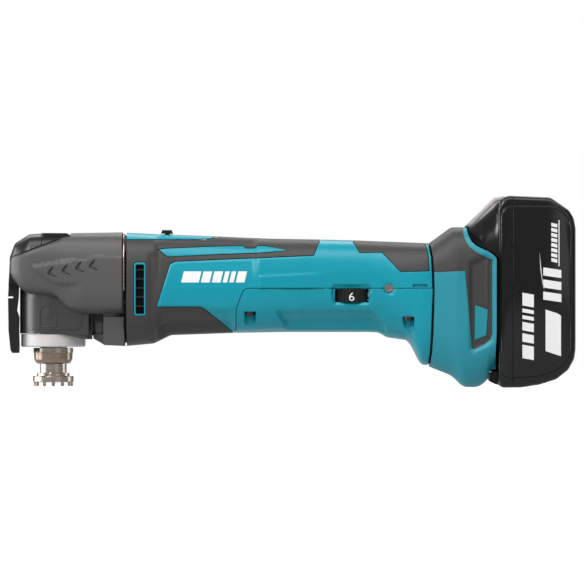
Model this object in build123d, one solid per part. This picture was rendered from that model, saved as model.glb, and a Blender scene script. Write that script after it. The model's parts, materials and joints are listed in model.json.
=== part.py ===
from build123d import *

import math
import os

# Cordless oscillating multi-tool, in millimetres.
# X runs along the tool, with the gear head at -X and the battery at +X. Y runs across it. Z is the
# spindle axis, upwards. The origin is on the spindle axis, on the face that the accessory seats on.

# Driving dimensions
MOTOR_Z = 57.0  # height of the motor axis above the accessory seat
WALL = 3.0  # thickness of the moulded housing
SKIN = 1.5  # thickness of the soft grip moulded over it
SLIP = 0.3  # gap between parts that move past each other
FIT = 0.05  # radial clearance of a running fit
HEAD_FRONT = -25.7  # front face of the head cover
HEAD_END = 42.9  # rear edge of the head cover
BODY_START = 44.2  # front edge of the motor housing
BODY_END = 226.3  # rear edge of the motor housing
MOUNT_START = 227.5  # front edge of the battery mount
MOUNT_END = 265.3  # rear edge of the battery mount
BATTERY_BACK = 312.5  # rear face of the battery
BATTERY_SPLIT = 275.0  # joint between the two battery shells
BATTERY_HALF = 37.5  # half of the battery's width
SPLIT_Z = 56.4  # joint between the upper and lower motor housing
FAR = 200.0  # reach of a cutting block past the part

# Side outline of the motor housing: x and z along its top and its underside
BODY_TOP = [
    (BODY_START, 89.6), (60.0, 88.9), (98.0, 87.5), (130.0, 86.1), (180.0, 85.1), (200.0, 84.2),
    (BODY_END, 83.3),
]
BODY_BOTTOM = [
    (BODY_END, 10.3), (220.0, 11.2), (216.5, 19.0), (212.0, 25.3), (202.0, 26.4), (196.0, 29.6),
    (188.0, 30.1), (140.0, 30.1), (110.0, 29.6), (70.5, 28.2), (61.0, 23.2), (BODY_START, 21.8),
]
# Half cross-sections (y, z), from the top down, of the housing, its flared tail and the battery mount
BODY_HALF = [(17.5, 91.0), (25.8, 80.0), (29.4, 66.0), (29.4, 47.0), (25.0, 34.5), (13.0, 20.5)]
TAIL_HALF = [(21.0, 93.0), (31.0, 82.0), (34.0, 70.0), (34.0, 30.0), (29.0, 14.0), (16.0, 7.0)]
MOUNT_HALF = [(28.0, 96.0), (38.0, 86.0), (38.0, 8.0), (27.0, -5.0)]
TAIL_START = 198.0  # where the flare towards the battery begins

# Spindle
SEAT_R = 12.2
PIN_COUNT = 12
PIN_CIRCLE_R = 11.0
PIN_R = 0.9
PIN_LENGTH = 2.3
BOLT_HEAD_R = 8.4
BOLT_R = 3.8
BORE_R = 4.0
SHAFT_R = 8.0
UPPER_SHAFT_R = 7.0
SPINDLE_TOP = 70.8
SPRING_FLOOR = 46.0
SPRING_TOP = 64.0
SPRING_R = 4.2

# Drive between motor and spindle
THROW = 0.75  # offset of the eccentric from the motor axis
ECCENTRIC_R = 9.5
FORK_GAP = ECCENTRIC_R + 1.85  # leaves room for the throw and the swing together
FORK_OUT = 14.6
FORK_END = 32.0

# Clamping lever
PIVOT_X, PIVOT_Z = 2.0, 82.0
HUB_R = 9.7
STRIP_HALF = 16.0
CHEEK_HALF = 19.5
EAR_IN, EAR_OUT = 12.0, 15.0
CAM_R = 5.0
CAM_OFFSET = 0.8
ROD_TOP = 77.08

# Motor
CAN_R = 21.0
CAN_START, CAN_END = 92.0, 150.0
SHAFT_MOTOR_R = 5.0

# Speed dial
DIAL_X, DIAL_Y, DIAL_R = 178.8, -17.4, 12.0
DIAL_LOW, DIAL_HIGH = 48.0, 56.0

# Battery mount channel and rails
CHANNEL_X = 250.2
CHANNEL_HALF = 27.3
RAIL_START = 259.5
RAIL_IN = 22.3

SEAM = [(-25.5, 75.0), (10.0, 88.4)]  # line where the lever's cap meets the head cover


def outline(points, radius=None):
    """Face in the XZ plane inside closed straight runs, with every corner rounded if radius is given."""
    if radius:
        edge = FilletPolyline(*points, radius=radius, close=True)
    else:
        edge = Polyline(*points, close=True)
    return Plane.XZ * make_face(edge)


def slab(points, half, radius=None):
    """Solid that has the side outline points, reaching half to each side of the middle plane."""
    return extrude(outline(points, radius), half, both=True)


def block(x0, x1, y0, y1, z0, z1):
    return Pos((x0 + x1) / 2, (y0 + y1) / 2, (z0 + z1) / 2) * Box(x1 - x0, y1 - y0, z1 - z0)


def sides(x0, x1, y0, y1, z0, z1):
    """The same block on both sides of the middle plane."""
    return block(x0, x1, y0, y1, z0, z1) + block(x0, x1, -y1, -y0, z0, z1)


def post(x, y, radius, z0, z1):
    """Cylinder along Z."""
    return Pos(x, y, (z0 + z1) / 2) * Cylinder(radius, z1 - z0)


def bar(x0, x1, radius, y=0.0, z=MOTOR_Z):
    """Cylinder along X."""
    return Pos((x0 + x1) / 2, y, z) * Rot(0, 90, 0) * Cylinder(radius, x1 - x0)


def rod(x, z, radius, y0, y1):
    """Cylinder along Y."""
    return Pos(x, (y0 + y1) / 2, z) * Rot(90, 0, 0) * Cylinder(radius, y1 - y0)


def ring(x0, x1, inner, outer):
    """Ring around the motor axis."""
    return bar(x0, x1, outer) - bar(x0 - 1, x1 + 1, inner)


def tube(x, y, inner, outer, z0, z1):
    """Ring around a vertical axis."""
    return post(x, y, outer, z0, z1) - post(x, y, inner, z0 - 1, z1 + 1)


def turned(profile):
    """Solid turned about the spindle axis from (radius, height) points."""
    return revolve(Plane.XZ * make_face(Polyline(*profile, close=True)), Axis.Z)


def drawn_in(face, inset):
    """The face with its outline moved inwards by inset."""
    return offset(face, amount=-inset, kind=Kind.INTERSECTION) if inset else face


def profile_of(side, half_section, radius, inset=0.0):
    """Long body with the given side outline and symmetric cross-section."""
    mirrored = half_section + [(-y, z) for y, z in reversed(half_section)]
    across = make_face(FilletPolyline(*mirrored, radius=radius, close=True))
    along = make_face(Polyline(*side, close=True))
    body = extrude(Plane.XZ * drawn_in(along, inset), 60, both=True)
    return body & extrude(Plane.YZ * drawn_in(across, inset), 400)


def plan_of(points, inset=0.0):
    """Column with the symmetric outline from above given by its (x, half width) points."""
    whole = points + [(x, -y) for x, y in reversed(points)]
    return extrude(drawn_in(make_face(Polyline(*whole, close=True)), inset), 300, both=True)


def body_hull(inset=0.0, reach=0.0):
    """Outer form of the motor housing, drawn in by inset and lengthened by reach at both ends."""
    r = reach + inset
    top = [(BODY_START - r, BODY_TOP[0][1])] + BODY_TOP[1:-1] + [(BODY_END + r, BODY_TOP[-1][1])]
    bottom = [(BODY_END + r, BODY_BOTTOM[0][1])] + BODY_BOTTOM[1:-1]
    bottom += [(BODY_START - r, BODY_BOTTOM[-1][1])]
    barrel = profile_of(top + bottom, BODY_HALF, 9.0, inset)
    tail = profile_of(top + bottom, TAIL_HALF, 9.0, inset)
    flare = [(TAIL_START - inset, 29.4), (220.0, 33.6), (BODY_END + r, 34.0)]
    return barrel + (tail & plan_of(flare, inset))


def mount_hull(inset=0.0, reach=0.0):
    """Outer form of the battery mount, drawn in by inset and lengthened by reach to the front."""
    r = reach + inset if inset else 0.0
    side = [(MOUNT_START - r, 84.6)] + MOUNT_SIDE + [(MOUNT_START - r, 8.8)]
    plan = [(MOUNT_START - r, 34.5), (240.0, 38.0), (MOUNT_END + 1.0, 38.0)]
    return profile_of(side, MOUNT_HALF, 7.0, inset) & plan_of(plan, inset)


def many(cutter, places):
    """The same solid at every place in the list."""
    return [place * cutter for place in places]


def softened(shape, edges, radius):
    """The shape with those edges rounded, or the largest smaller radius that the corners allow."""
    for share in (1.0, 0.6, 0.3):
        try:
            return fillet(edges, radius * share)
        except ValueError:
            continue
    return shape


def together(pieces):
    """Separate solids as one part."""
    return Compound(children=[s for p in pieces for s in p.solids()])


# ---------------------------------------------------------------- gear head


def head_plan():
    """Column with the head's outline from above, widening towards the motor housing."""
    points = [(HEAD_END, -29.0), (HEAD_FRONT, -25.0), (HEAD_FRONT, 25.0), (HEAD_END, 29.0)]
    return extrude(make_face(FilletPolyline(*points, radius=[0.5, 13.0, 13.0, 0.5], close=True)), FAR)


def seam_cap():
    """Everything above the seam between cover and lever cap."""
    (x0, z0), (x1, z1) = SEAM
    return slab([(x0 - 10, z0 - 10 * (z1 - z0) / (x1 - x0)), (x1, z1), (x1, 130), (x0 - 10, 130)], FAR)


def gear_housing():
    """Cast housing around the spindle bearings and the swing drive."""
    body = post(0, 0, 20.0, 29.2, 71.8) + block(0, 41.0, -20.0, 20.0, 29.2, 71.8)
    skirt = slab([(3.0, 29.2), (19.0, 26.0), (23.3, 25.7), (23.3, 39.6), (3.0, 39.6)], 20.0)
    body = body + (skirt - post(0, 0, 19.7, 20.0, 29.3)) + bar(37.0, HEAD_END, 26.0)
    chamber = post(0, 0, 15.8, 42.0, 66.0) + block(0, 37.0, -16.0, 16.0, 41.5, 66.0)
    bores = [
        chamber, bar(24.8, 37.5, 12.4), post(0, 0, 13.0, 29.0, 42.1), post(0, 0, 11.0, 65.9, 71.0),
        post(0, 0, 5.6, 70.0, 72.0), bar(36.0, 44.0, 11.0),
    ]
    ears = sides(PIVOT_X - 5.5, PIVOT_X + 5.5, EAR_IN, EAR_OUT, 71.0, PIVOT_Z)
    ears += [rod(PIVOT_X, PIVOT_Z, 5.5, EAR_IN, EAR_OUT), rod(PIVOT_X, PIVOT_Z, 5.5, -EAR_OUT, -EAR_IN)]
    return body - bores + (ears - rod(PIVOT_X, PIVOT_Z, 2.0, -30, 30))


def lever_room():
    """Space swept by the clamping lever inside the cover."""
    hub = rod(PIVOT_X, PIVOT_Z, HUB_R + 0.5, -CHEEK_HALF - SLIP, CHEEK_HALF + SLIP)
    strip = block(-40, -19.8, -STRIP_HALF - SLIP, STRIP_HALF + SLIP, 40, 120)
    middle = block(-26, PIVOT_X, -STRIP_HALF - SLIP, STRIP_HALF + SLIP, 71.9, 120)
    return hub + strip + middle


def head_cover():
    """Rubber cover over the gear housing, open below the front of the head."""
    side = [
        (HEAD_END, 89.9), (12.0, 89.5), (-30.0, 89.5), (-30.0, 64.0), (-26.0, 63.5), (-24.0, 61.0),
        (-20.0, 56.6), (-15.0, 53.2), (-9.0, 50.6), (0.0, 48.6), (3.5, 46.6), (6.5, 43.0), (9.5, 40.4),
        (13.0, 39.6), (HEAD_END, 39.6),
    ]
    cover = head_plan() & slab(side, 40)
    long_top = [e for e in cover.edges() if e.center().Z > 88 and abs(e.center().Y) > 20]
    cover = softened(cover, long_top, 9.0)
    inner = post(0, 0, 20.2, 30, 72.0) + block(0, 41.2, -20.2, 20.2, 30, 72.0) + bar(36.8, 44, 26.2)
    inner += sides(PIVOT_X - 6, PIVOT_X + 6, EAR_IN - SLIP, EAR_OUT + SLIP, 71, 88)
    return cover - inner - seam_cap() - lever_room()


def chevrons():
    """Four arrow-shaped grooves on each flank of the head cover."""
    arrows = []
    for i in range(4):
        x, z = -2.4 + 8.3 * i, 65.6 + 1.15 * i
        arrow = [(x, z), (x + 3.2, z + 4.6), (x + 1.9, z), (x + 5.8, z - 2.7)]
        arrows.append(slab(arrow, 40))
    return together(arrows)


def lever_cam():
    """Off-centre disc that pushes the clamping rod down, with its web up to the hub."""
    slope = math.radians(10)
    x = PIVOT_X + CAM_OFFSET * math.cos(slope)
    z = PIVOT_Z + CAM_OFFSET * math.sin(slope)
    web = block(PIVOT_X - 4, PIVOT_X + 4, -6, 6, PIVOT_Z, 88.4) & rod(PIVOT_X, PIVOT_Z, HUB_R, -6, 6)
    return rod(x, z, CAM_R, -6, 6) + web


def lever_cap(side):
    """Rounded cap that covers the top front of the head."""
    cap = side & seam_cap() & head_plan() & block(-40, -6.6, -30, 30, 60, 100)
    crown = [e for e in cap.edges() if e.center().Z > 82 and abs(e.center().Y) > 20]
    return softened(cap, crown, 4.0)


def clamp_lever():
    """Lever: a cap over the head, a strip down its front and a hub with the release cam."""
    edge = [
        (PIVOT_X + 8.0, 89.3), (-5.0, 89.4), (-14.3, 88.9), (-23.0, 83.0), (-25.6, 75.5), (-26.2, 63.5),
        (-26.9, 51.0), (-26.6, 31.0), (-25.4, 19.4), (-24.4, 17.6), (-20.6, 17.6), (-20.4, 21.0),
        (-20.7, 32.0), (-20.5, 39.0), (-21.9, 43.0), (-20.9, 51.0), (-20.6, 62.0), (-20.6, 73.5),
        (-12.0, 76.0), (PIVOT_X, 76.5), (PIVOT_X + 8.0, 82.0),
    ]
    side = slab(edge, 25.0)
    hub = side & rod(PIVOT_X, PIVOT_Z, HUB_R, -CHEEK_HALF, CHEEK_HALF)
    hub &= block(-12, 12, -30, 30, 72.4, 95)
    strip_edge = [(-30, 10), (-20.3, 10), (-20.3, 72.4), (12, 72.4), (12, 95), (-30, 95)]
    strip = side & slab(strip_edge, STRIP_HALF)
    strip &= block(-40, PIVOT_X, -STRIP_HALF, STRIP_HALF, 10, 95)
    bridge = side & seam_cap() & block(-12, PIVOT_X, -CHEEK_HALF, CHEEK_HALF, 70, 95)
    ear_slots = sides(PIVOT_X - 7.5, 14, EAR_IN - SLIP, EAR_OUT + SLIP, 60, 87.8)
    core = block(PIVOT_X - 7.5, 14, -EAR_IN, EAR_IN, 60, 87.8)
    lever = lever_cap(side) + strip + hub + bridge - ear_slots - core + lever_cam()
    eye = rod(PIVOT_X, PIVOT_Z, 2.0 + FIT, -30, 30)
    notch = block(-30, -23.8, -STRIP_HALF + 3, STRIP_HALF - 3, 50.4, 51.4)
    return lever - eye - notch


def lever_pin():
    return rod(PIVOT_X, PIVOT_Z, 2.0, -CHEEK_HALF + 0.5, CHEEK_HALF - 0.5)


def lamp_housing():
    """Moulded nose under the head cover that carries the work lamp."""
    wide = [(30.5, 22.6), (31.5, 22.3), (HEAD_END, 21.8), (HEAD_END, 39.3), (30.5, 39.3)]
    slim = [(24.2, 26.3), (30.6, 22.6), (30.6, 39.3), (24.2, 39.3)]
    body = slab(wide, 22.0) + slab(slim, 11.0)
    room = block(26.5, 41.5, -9.0, 9.0, 25.5, 36.0)
    window = Pos(27.3, 0, 24.5) * Rot(0, 30, 0) * Box(6.0, 8.0, 6.0)
    return body - room - window - bar(36.8, 44, 26.2) - block(0, 41.2, -20.2, 20.2, 29.0, 72.0)


def lamp_lens():
    """Clear window in the sloping face of the nose."""
    lens = Pos(27.3, 0, 24.5) * Rot(0, 30, 0) * Box(5.8, 7.8, 6.0)
    face = slab([(24.2, 26.3), (30.6, 22.6), (32.0, 24.6), (25.4, 28.4)], 10)
    return lens & face & block(20, 40, -10, 10, 20, 27.4)


def retainer_ring():
    """Bare aluminium ring that closes the housing under the lower bearing."""
    profile = [(12.7, 21.2), (18.6, 21.2), (19.3, 21.9), (19.3, 28.9), (12.7, 28.9)]
    body = turned(profile)
    places = [Pos(x, y, 0) for x, y in screw_circle()]
    return body - many(post(0, 0, 2.7, 21.0, 23.6) + post(0, 0, 1.5, 21.0, 29.5), places)


def screw_circle():
    """Places of the four screws around the spindle."""
    return [(16.0 * math.cos(a), 16.0 * math.sin(a)) for a in (math.radians(45 + 90 * i) for i in range(4))]


def retainer_screws():
    screws = []
    for x, y in screw_circle():
        screw = post(x, y, 2.5, 21.4, 23.6) + post(x, y, 1.45, 23.6, 29.0)
        screws.append(screw - post(x, y, 1.2, 21.0, 22.4))
    return together(screws)


def dust_seal():
    return tube(0, 0, SHAFT_R + FIT, 12.6, 24.0, 28.0)


# ---------------------------------------------------------------- spindle


def spindle():
    """Hollow spindle that ends in the accessory flange and its driving pins."""
    profile = [
        (BORE_R, 2.0), (8.6, 2.0), (8.6, 0.0), (SEAT_R - 0.4, 0.0), (SEAT_R, 0.4), (SEAT_R, 3.4),
        (SEAT_R - 0.4, 3.8), (9.8, 3.8), (9.8, 5.3), (9.5, 5.6), (SHAFT_R, 5.6), (SHAFT_R, 38.0),
        (SHAFT_R + 1.2, 38.0), (SHAFT_R + 1.2, 42.0), (SHAFT_R, 42.0), (SHAFT_R, 65.5),
        (UPPER_SHAFT_R, 65.5), (UPPER_SHAFT_R, SPINDLE_TOP), (5.4, SPINDLE_TOP), (5.4, SPRING_FLOOR),
        (BORE_R, SPRING_FLOOR),
    ]
    pin = post(0, 0, PIN_R, -PIN_LENGTH, 0.5)
    return turned(profile) + many(pin, PolarLocations(PIN_CIRCLE_R, PIN_COUNT))


def spindle_cap():
    """Plated dust cap pressed on the spindle under the housing."""
    return turned([(SHAFT_R, 11.1), (9.3, 11.1), (10.4, 11.7), (11.4, 13.6), (11.6, 17.8), (SHAFT_R, 17.8)])


def spindle_washer():
    return turned([(SHAFT_R, 17.8), (11.9, 17.8), (11.9, 20.6), (SHAFT_R, 20.6)])


def lower_bearing():
    return tube(0, 0, SHAFT_R, 13.0, 30.0, 38.0)


def upper_bearing():
    return tube(0, 0, UPPER_SHAFT_R, 11.0, 66.0, 71.0)


def swing_arm():
    """Fork clamped on the spindle, driven from side to side by the eccentric."""
    arm = tube(0, 0, SHAFT_R, 13.6, 50.5, 63.5)
    arms = sides(4.0, FORK_END, FORK_GAP, FORK_OUT, 50.5, 63.5)
    arms += block(4.0, 13.5, -FORK_OUT, FORK_OUT, 50.5, 63.5)
    return (arm + arms) - post(0, 0, SHAFT_R, 40, 70)


def holder_bolt():
    """Bolt that clamps the accessory, with a grooved stem for the clamping jaws."""
    groove = tube(0, 0, BOLT_R - 0.5, BOLT_R + 1, 33.0, 34.0)
    stem = post(0, 0, BOLT_R, 1.5, 43.0) - many(groove, [Pos(0, 0, 2.2 * i) for i in range(4)])
    head = turned([(0, 0.3), (7.6, 0.3), (BOLT_HEAD_R, 0.9), (BOLT_HEAD_R, 1.9), (0, 1.9)])
    return head + stem - post(0, 0, 3.0, 0.2, 0.9)


def clamp_rod():
    """Rod that the lever's cam presses down to free the bolt."""
    stem = post(0, 0, 2.4, 46.5, ROD_TOP)
    foot = post(0, 0, 3.0, 44.8, 50.0)
    collar = post(0, 0, 5.1, SPRING_TOP + 0.2, SPRING_TOP + 2.0)
    return stem + foot + collar


def clamp_spring():
    """Compression spring around the clamping rod."""
    wire_r = 0.55
    floor = SPRING_FLOOR + wire_r + 0.1
    height = SPRING_TOP - SPRING_FLOOR - 2 * wire_r
    path = Helix(pitch=2.6, height=height, radius=SPRING_R)
    start = Plane(origin=path @ 0, z_dir=path % 0)
    coil = sweep(start * Circle(wire_r), path=path)
    return Pos(0, 0, floor) * coil


# ---------------------------------------------------------------- motor


def motor_shaft():
    """Armature shaft, with the eccentric pin at its front end."""
    return bar(36.7, 165.8, SHAFT_MOTOR_R) + bar(25.0, 37.0, 3.0, z=MOTOR_Z + THROW)


def eccentric_bearing():
    outer = bar(25.5, 31.5, ECCENTRIC_R, z=MOTOR_Z + THROW)
    return outer - bar(20, 40, 3.0, z=MOTOR_Z + THROW)


def counterweight():
    half = bar(32.8, 36.5, 12.0) & block(30, 40, -20, 20, 40, MOTOR_Z)
    disc = half + bar(32.8, 36.5, 6.0)
    return disc - bar(30, 40, 3.0, z=MOTOR_Z + THROW)


def front_bearing():
    return ring(37.6, 43.6, SHAFT_MOTOR_R, 11.0)


def around_motor(count):
    """Evenly spread turns about the motor axis."""
    return [Pos(0, 0, MOTOR_Z) * Rot(360.0 * i / count, 0, 0) for i in range(count)]


def fan():
    """Cooling fan: a hub disc with radial blades."""
    blade = block(56.0, 65.0, -0.6, 0.6, 7.5, 21.6)
    disc = ring(64.4, 66.0, SHAFT_MOTOR_R, 22.0)
    return ring(55.0, 66.0, SHAFT_MOTOR_R, 8.0) + disc + many(blade, around_motor(11))


def armature_core():
    """Laminated core with winding slots."""
    slot = block(99, 139, -0.8, 0.8, 14.0, 17.5) + Pos(119, 0, 12.4) * Rot(0, 90, 0) * Cylinder(2.0, 40)
    return ring(100.0, 138.0, SHAFT_MOTOR_R, 16.2) - many(slot, around_motor(12))


def windings():
    """Copper end turns at both ends of the core."""
    ends = []
    for x0, x1 in ((93.5, 100.0), (138.0, 144.5)):
        turn = ring(x0, x1, 8.0, 15.0)
        ends.append(softened(turn, turn.edges().filter_by(GeomType.CIRCLE), 1.8))
    return together(ends)


def commutator():
    """Copper commutator with insulating slots."""
    slot = block(145, 159, -0.2, 0.2, 8.2, 9.5)
    return ring(146.0, 158.0, SHAFT_MOTOR_R, 9.0) - many(slot, around_motor(24))


def rear_bearing():
    return ring(159.8, 165.0, SHAFT_MOTOR_R, 9.5)


def motor_can():
    """Steel field can with a front end wall that the shaft passes through."""
    return ring(CAN_START, CAN_END, 19.4, CAN_R) + ring(90.5, 92.5, 12.0, CAN_R)


def magnets():
    """Four arc magnets bonded inside the can."""
    full = ring(97.0, 142.0, 16.9, 19.35)
    gap = block(90, 150, -2.5, 2.5, -30, 30)
    return full - [Pos(0, 0, MOTOR_Z) * Rot(45, 0, 0) * gap, Pos(0, 0, MOTOR_Z) * Rot(-45, 0, 0) * gap]


def brush_plate():
    """Moulded end plate that holds the brush boxes and the rear bearing."""
    body = ring(150.2, 165.4, 18.4, CAN_R) + ring(160.0, 165.4, 9.5, 19.0)
    return body - block(150.9, 159.1, -24.0, 24.0, MOTOR_Z - 3.6, MOTOR_Z + 3.6)


def brush_boxes():
    boxes = []
    for side in (1, -1):
        outer = block(151.0, 159.0, *sorted((side * 10.0, side * 20.6)), MOTOR_Z - 3.5, MOTOR_Z + 3.5)
        inner = block(152.0, 158.0, *sorted((side * 9.0, side * 20.1)), MOTOR_Z - 2.5, MOTOR_Z + 2.5)
        boxes.append(outer - inner)
    return together(boxes)


def carbon_brushes():
    blocks = []
    for side in (1, -1):
        brush = block(152.1, 157.9, *sorted((side * 8.4, side * 15.0)), MOTOR_Z - 2.4, MOTOR_Z + 2.4)
        blocks.append(brush - bar(140, 165, 9.05))
    return together(blocks)


def brush_springs():
    """Springs behind the brushes, drawn as plain tubes."""
    coil = rod(155.0, MOTOR_Z, 2.2, 15.1, 20.1) - rod(155.0, MOTOR_Z, 1.4, 14.0, 21.0)
    return together([coil, mirror(coil, Plane.XZ)])


# ---------------------------------------------------------------- housing


def lower_region():
    """Side region of the lower housing."""
    return slab([(109.6, 0), (109.7, 45.5), (113.0, 53.6), (116.3, SPLIT_Z), (230, SPLIT_Z), (230, 0)], 60)


def panel_region():
    """Side region where the hard housing shows between the soft grips."""
    edge = [
        (62.3, 45.4), (70.3, 70.0), (73.2, 72.4), (120.0, 74.3), (156.0, 76.0), (160.6, 90.0),
        (178.4, 90.0), (183.6, 77.8), (196.6, 77.8), (208.2, 66.3), (240.0, 66.5), (240.0, 0),
        (108.3, 0), (108.3, 30.2), (89.0, 45.2),
    ]
    return slab(edge, 60)


def stripe_region():
    """Pointed inlay along the upper flank."""
    edge = [
        (63.4, 79.6), (69.5, 75.2), (100.0, 76.6), (128.0, 77.4), (141.0, 78.4), (129.0, 81.1),
        (122.6, 81.1), (121.0, 79.9), (115.5, 79.9), (113.4, 81.6), (108.0, 81.8), (80.0, 80.4),
    ]
    return slab(edge, 60)


def top_plate_region():
    """Region of the switch plate on top of the housing."""
    lower_edge = [(BODY_START - 1, 85.4), (90.0, 85.6), (93.0, 86.0), (98.4, 87.4)]
    return slab(lower_edge + [(98.4, 95), (BODY_START - 1, 95)], 60)


# Side outlines of the cooling vent and of the hard frame around it
VENT = [(49.8, 41.0), (55.0, 41.0), (55.0, 70.4), (49.8, 70.4)]
VENT_FRAME = [(48.7, 39.8), (55.9, 39.8), (55.9, 71.6), (48.7, 71.6)]

# The two pairs of housing screws: x, distance from the middle plane, height of their heads
SCREW_ROWS = [(118.2, 25.3, 42.4), (212.8, 29.4, 39.4)]
SIDE_SCREW_X = 201.2


def at_screws(radius, z0, z1):
    """A post at every housing screw."""
    return [post(x, side * y, radius, z0, z1) for x, y, _ in SCREW_ROWS for side in (1, -1)]


def screw_pockets():
    """Vertical wells that the housing screws sit in."""
    return [post(x, side * y, 3.4, 5.0, z) for x, y, z in SCREW_ROWS for side in (1, -1)]


def side_screw_seats():
    """Countersunk seats of the two side screws."""
    return [rod(SIDE_SCREW_X, SPLIT_Z, 3.4, y0, y1) for y0, y1 in ((27.4, 40), (-40, -27.4))]


def side_screw_holes():
    return rod(SIDE_SCREW_X, SPLIT_Z, 1.7, -40, 40)


def shell():
    return body_hull() - body_hull(WALL, reach=2.0)


def skin():
    return body_hull() - body_hull(SKIN, reach=2.0)


def dial_window():
    return block(168.8, 189.0, -40, -20, 47.4, 56.6)


def grip_front():
    """Soft grip around the front of the motor housing."""
    soft = skin() - panel_region() - stripe_region() - top_plate_region() - lower_region()
    soft = soft - slab(VENT_FRAME, 60, 1.2)
    return soft - block(165, 240, -60, 60, 0, 100)


def grip_rear():
    """Soft grip over the back of the handle."""
    soft = skin() - panel_region() - lower_region()
    return soft & block(170, 240, -60, 60, 60, 100)


def housing_upper(front, rear, plate):
    """Hard upper housing under the two grips, with its screw bosses and the rear bearing seat."""
    room = body_hull(WALL - 0.2)
    body = shell() - lower_region() - front - rear - plate
    cage = ring(151.0, 165.0, CAN_R, CAN_R + 7.0) & block(150, 166, -40, 40, SPLIT_Z, 78.5)
    body += [part & room for part in (cage, *at_screws(3.9, SPLIT_Z, SPLIT_Z + 12))]
    slots = [slab(VENT, 60, 1.0), dial_window(), block(58.0, 72.5, -3.0, 3.0, 80.0, 92.0)]
    return body - at_screws(1.5, 40, SPLIT_Z + 10) - slots - side_screw_seats() - side_screw_holes()


def housing_lower():
    """Hard lower housing, screwed up into the upper one."""
    room = body_hull(WALL - 0.2) & lower_region()
    body = (shell() & lower_region()) + [boss & room for boss in at_screws(3.9, 20.0, SPLIT_Z)]
    slots = [block(203.2 + 5.2 * i, 206.6 + 5.2 * i, -16, 16, 15, 32) for i in range(2)]
    body -= [bar(80, 166, CAN_R + 0.2), dial_window()]
    body -= at_screws(1.6, 20, 60) + screw_pockets() + slots
    return body - side_screw_seats() - side_screw_holes()


def lower_screws():
    """Four screws, each in its well in the lower housing."""
    screws = []
    for x, y, z in SCREW_ROWS:
        screw = post(0, 0, 2.7, z - 2.4, z) + post(0, 0, 1.4, z, SPLIT_Z + 9)
        screws += many(screw - post(0, 0, 1.3, z - 3, z - 1.2), [Pos(x, y, 0), Pos(x, -y, 0)])
    return together(screws)


def side_screws():
    head = rod(SIDE_SCREW_X, SPLIT_Z, 2.6, 27.6, 29.6)
    shank = rod(SIDE_SCREW_X, SPLIT_Z, 1.6, 21.0, 27.6)
    screw = head + shank - rod(SIDE_SCREW_X, SPLIT_Z, 1.2, 28.6, 31.0)
    return together([screw, mirror(screw, Plane.XZ)])


def switch_plate():
    """Hard plate on top that the slide switch runs on."""
    body = skin() & top_plate_region()
    return body - block(58.0, 72.5, -3.0, 3.0, 80, 95)


def vent_grilles():
    """Louvred inserts behind the side vents."""
    room = body_hull(WALL + 0.1)
    frame = block(49.0, 55.8, 20.0, 40.0, 41.0, 70.4) - block(50.2, 54.6, 10, 50, 42.2, 69.2)
    frame += [block(49.6, 55.2, 20.0, 40.0, z, z + 1.2) for z in (45.0, 50.4, 55.8, 61.2, 66.6)]
    left = (frame & room) - body_hull(WALL + 1.8)
    return together([left, mirror(left, Plane.XZ)])


def neck_ring():
    """Thin seal between head cover and motor housing."""
    band = body_hull(1.6, reach=4.0) & block(HEAD_END + 0.1, BODY_START - 0.1, -60, 60, 0, 120)
    return band - bar(40, 46, 26.0)


def switch_knob():
    """Knob of the slide switch, with its stem."""
    knob = slab([(64.6, 89.2), (71.8, 88.9), (71.0, 91.2), (65.6, 91.3)], 9.0)
    knob -= [rod(66.6 + 1.75 * i, 91.5, 0.45, -12, 12) for i in range(3)]
    return knob + block(66.9, 69.9, -2.2, 2.2, 82.0, 89.4)


def switch_rod():
    """Flat link from the knob to the switch."""
    link = block(60.0, 150.0, -5.0, 5.0, 80.5, 82.0) + block(148.0, 186.0, -5.0, 5.0, 79.0, 80.5)
    return link + [block(148.0, 150.0, -5.0, 5.0, 79.0, 82.0), block(181.5, 184.5, -5.0, 5.0, 76.2, 79.2)]


def switch_box():
    body = block(188.0, 212.0, -8.0, 8.0, 66.0, 78.6)
    return body + block(185.2, 188.0, -3.0, 3.0, 76.4, 78.6)


def speed_dial():
    """Numbered thumbwheel with a knurled rim, on a stub shaft."""
    wheel = post(0, 0, DIAL_R, DIAL_LOW, DIAL_HIGH) - many(
        post(0, 0, 0.35, DIAL_LOW - 1, DIAL_HIGH + 1), PolarLocations(DIAL_R, 36)
    )
    return Pos(DIAL_X, DIAL_Y, 0) * (wheel + post(0, 0, 2.0, DIAL_LOW - 4.0, DIAL_LOW))


def controller():
    """Speed controller: circuit board in a potted tray, with the dial's socket."""
    tray = block(170.0, 212.0, -12.5, 12.5, 36.0, 43.2)
    tray += [post(DIAL_X, DIAL_Y, 3.4, 40.4, 46.0), block(176.0, 182.0, DIAL_Y, -12.0, 40.4, 43.2)]
    return tray - post(DIAL_X, DIAL_Y, 2.0 + FIT, 43.6, 47.0)


# ---------------------------------------------------------------- battery mount

MOUNT_SIDE = [
    (238.6, 92.9), (247.4, 92.7), (248.2, 88.5), (250.0, 84.8), (253.4, 81.9), (258.6, 79.2),
    (MOUNT_END, 75.8), (MOUNT_END, 30.0), (264.6, 15.0), (262.6, 6.0), (260.2, 1.6), (256.4, -1.8),
    (253.0, -3.0), (247.2, -2.9), (244.6, -1.6), (240.0, 3.0), (237.0, 4.6),
]


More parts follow.
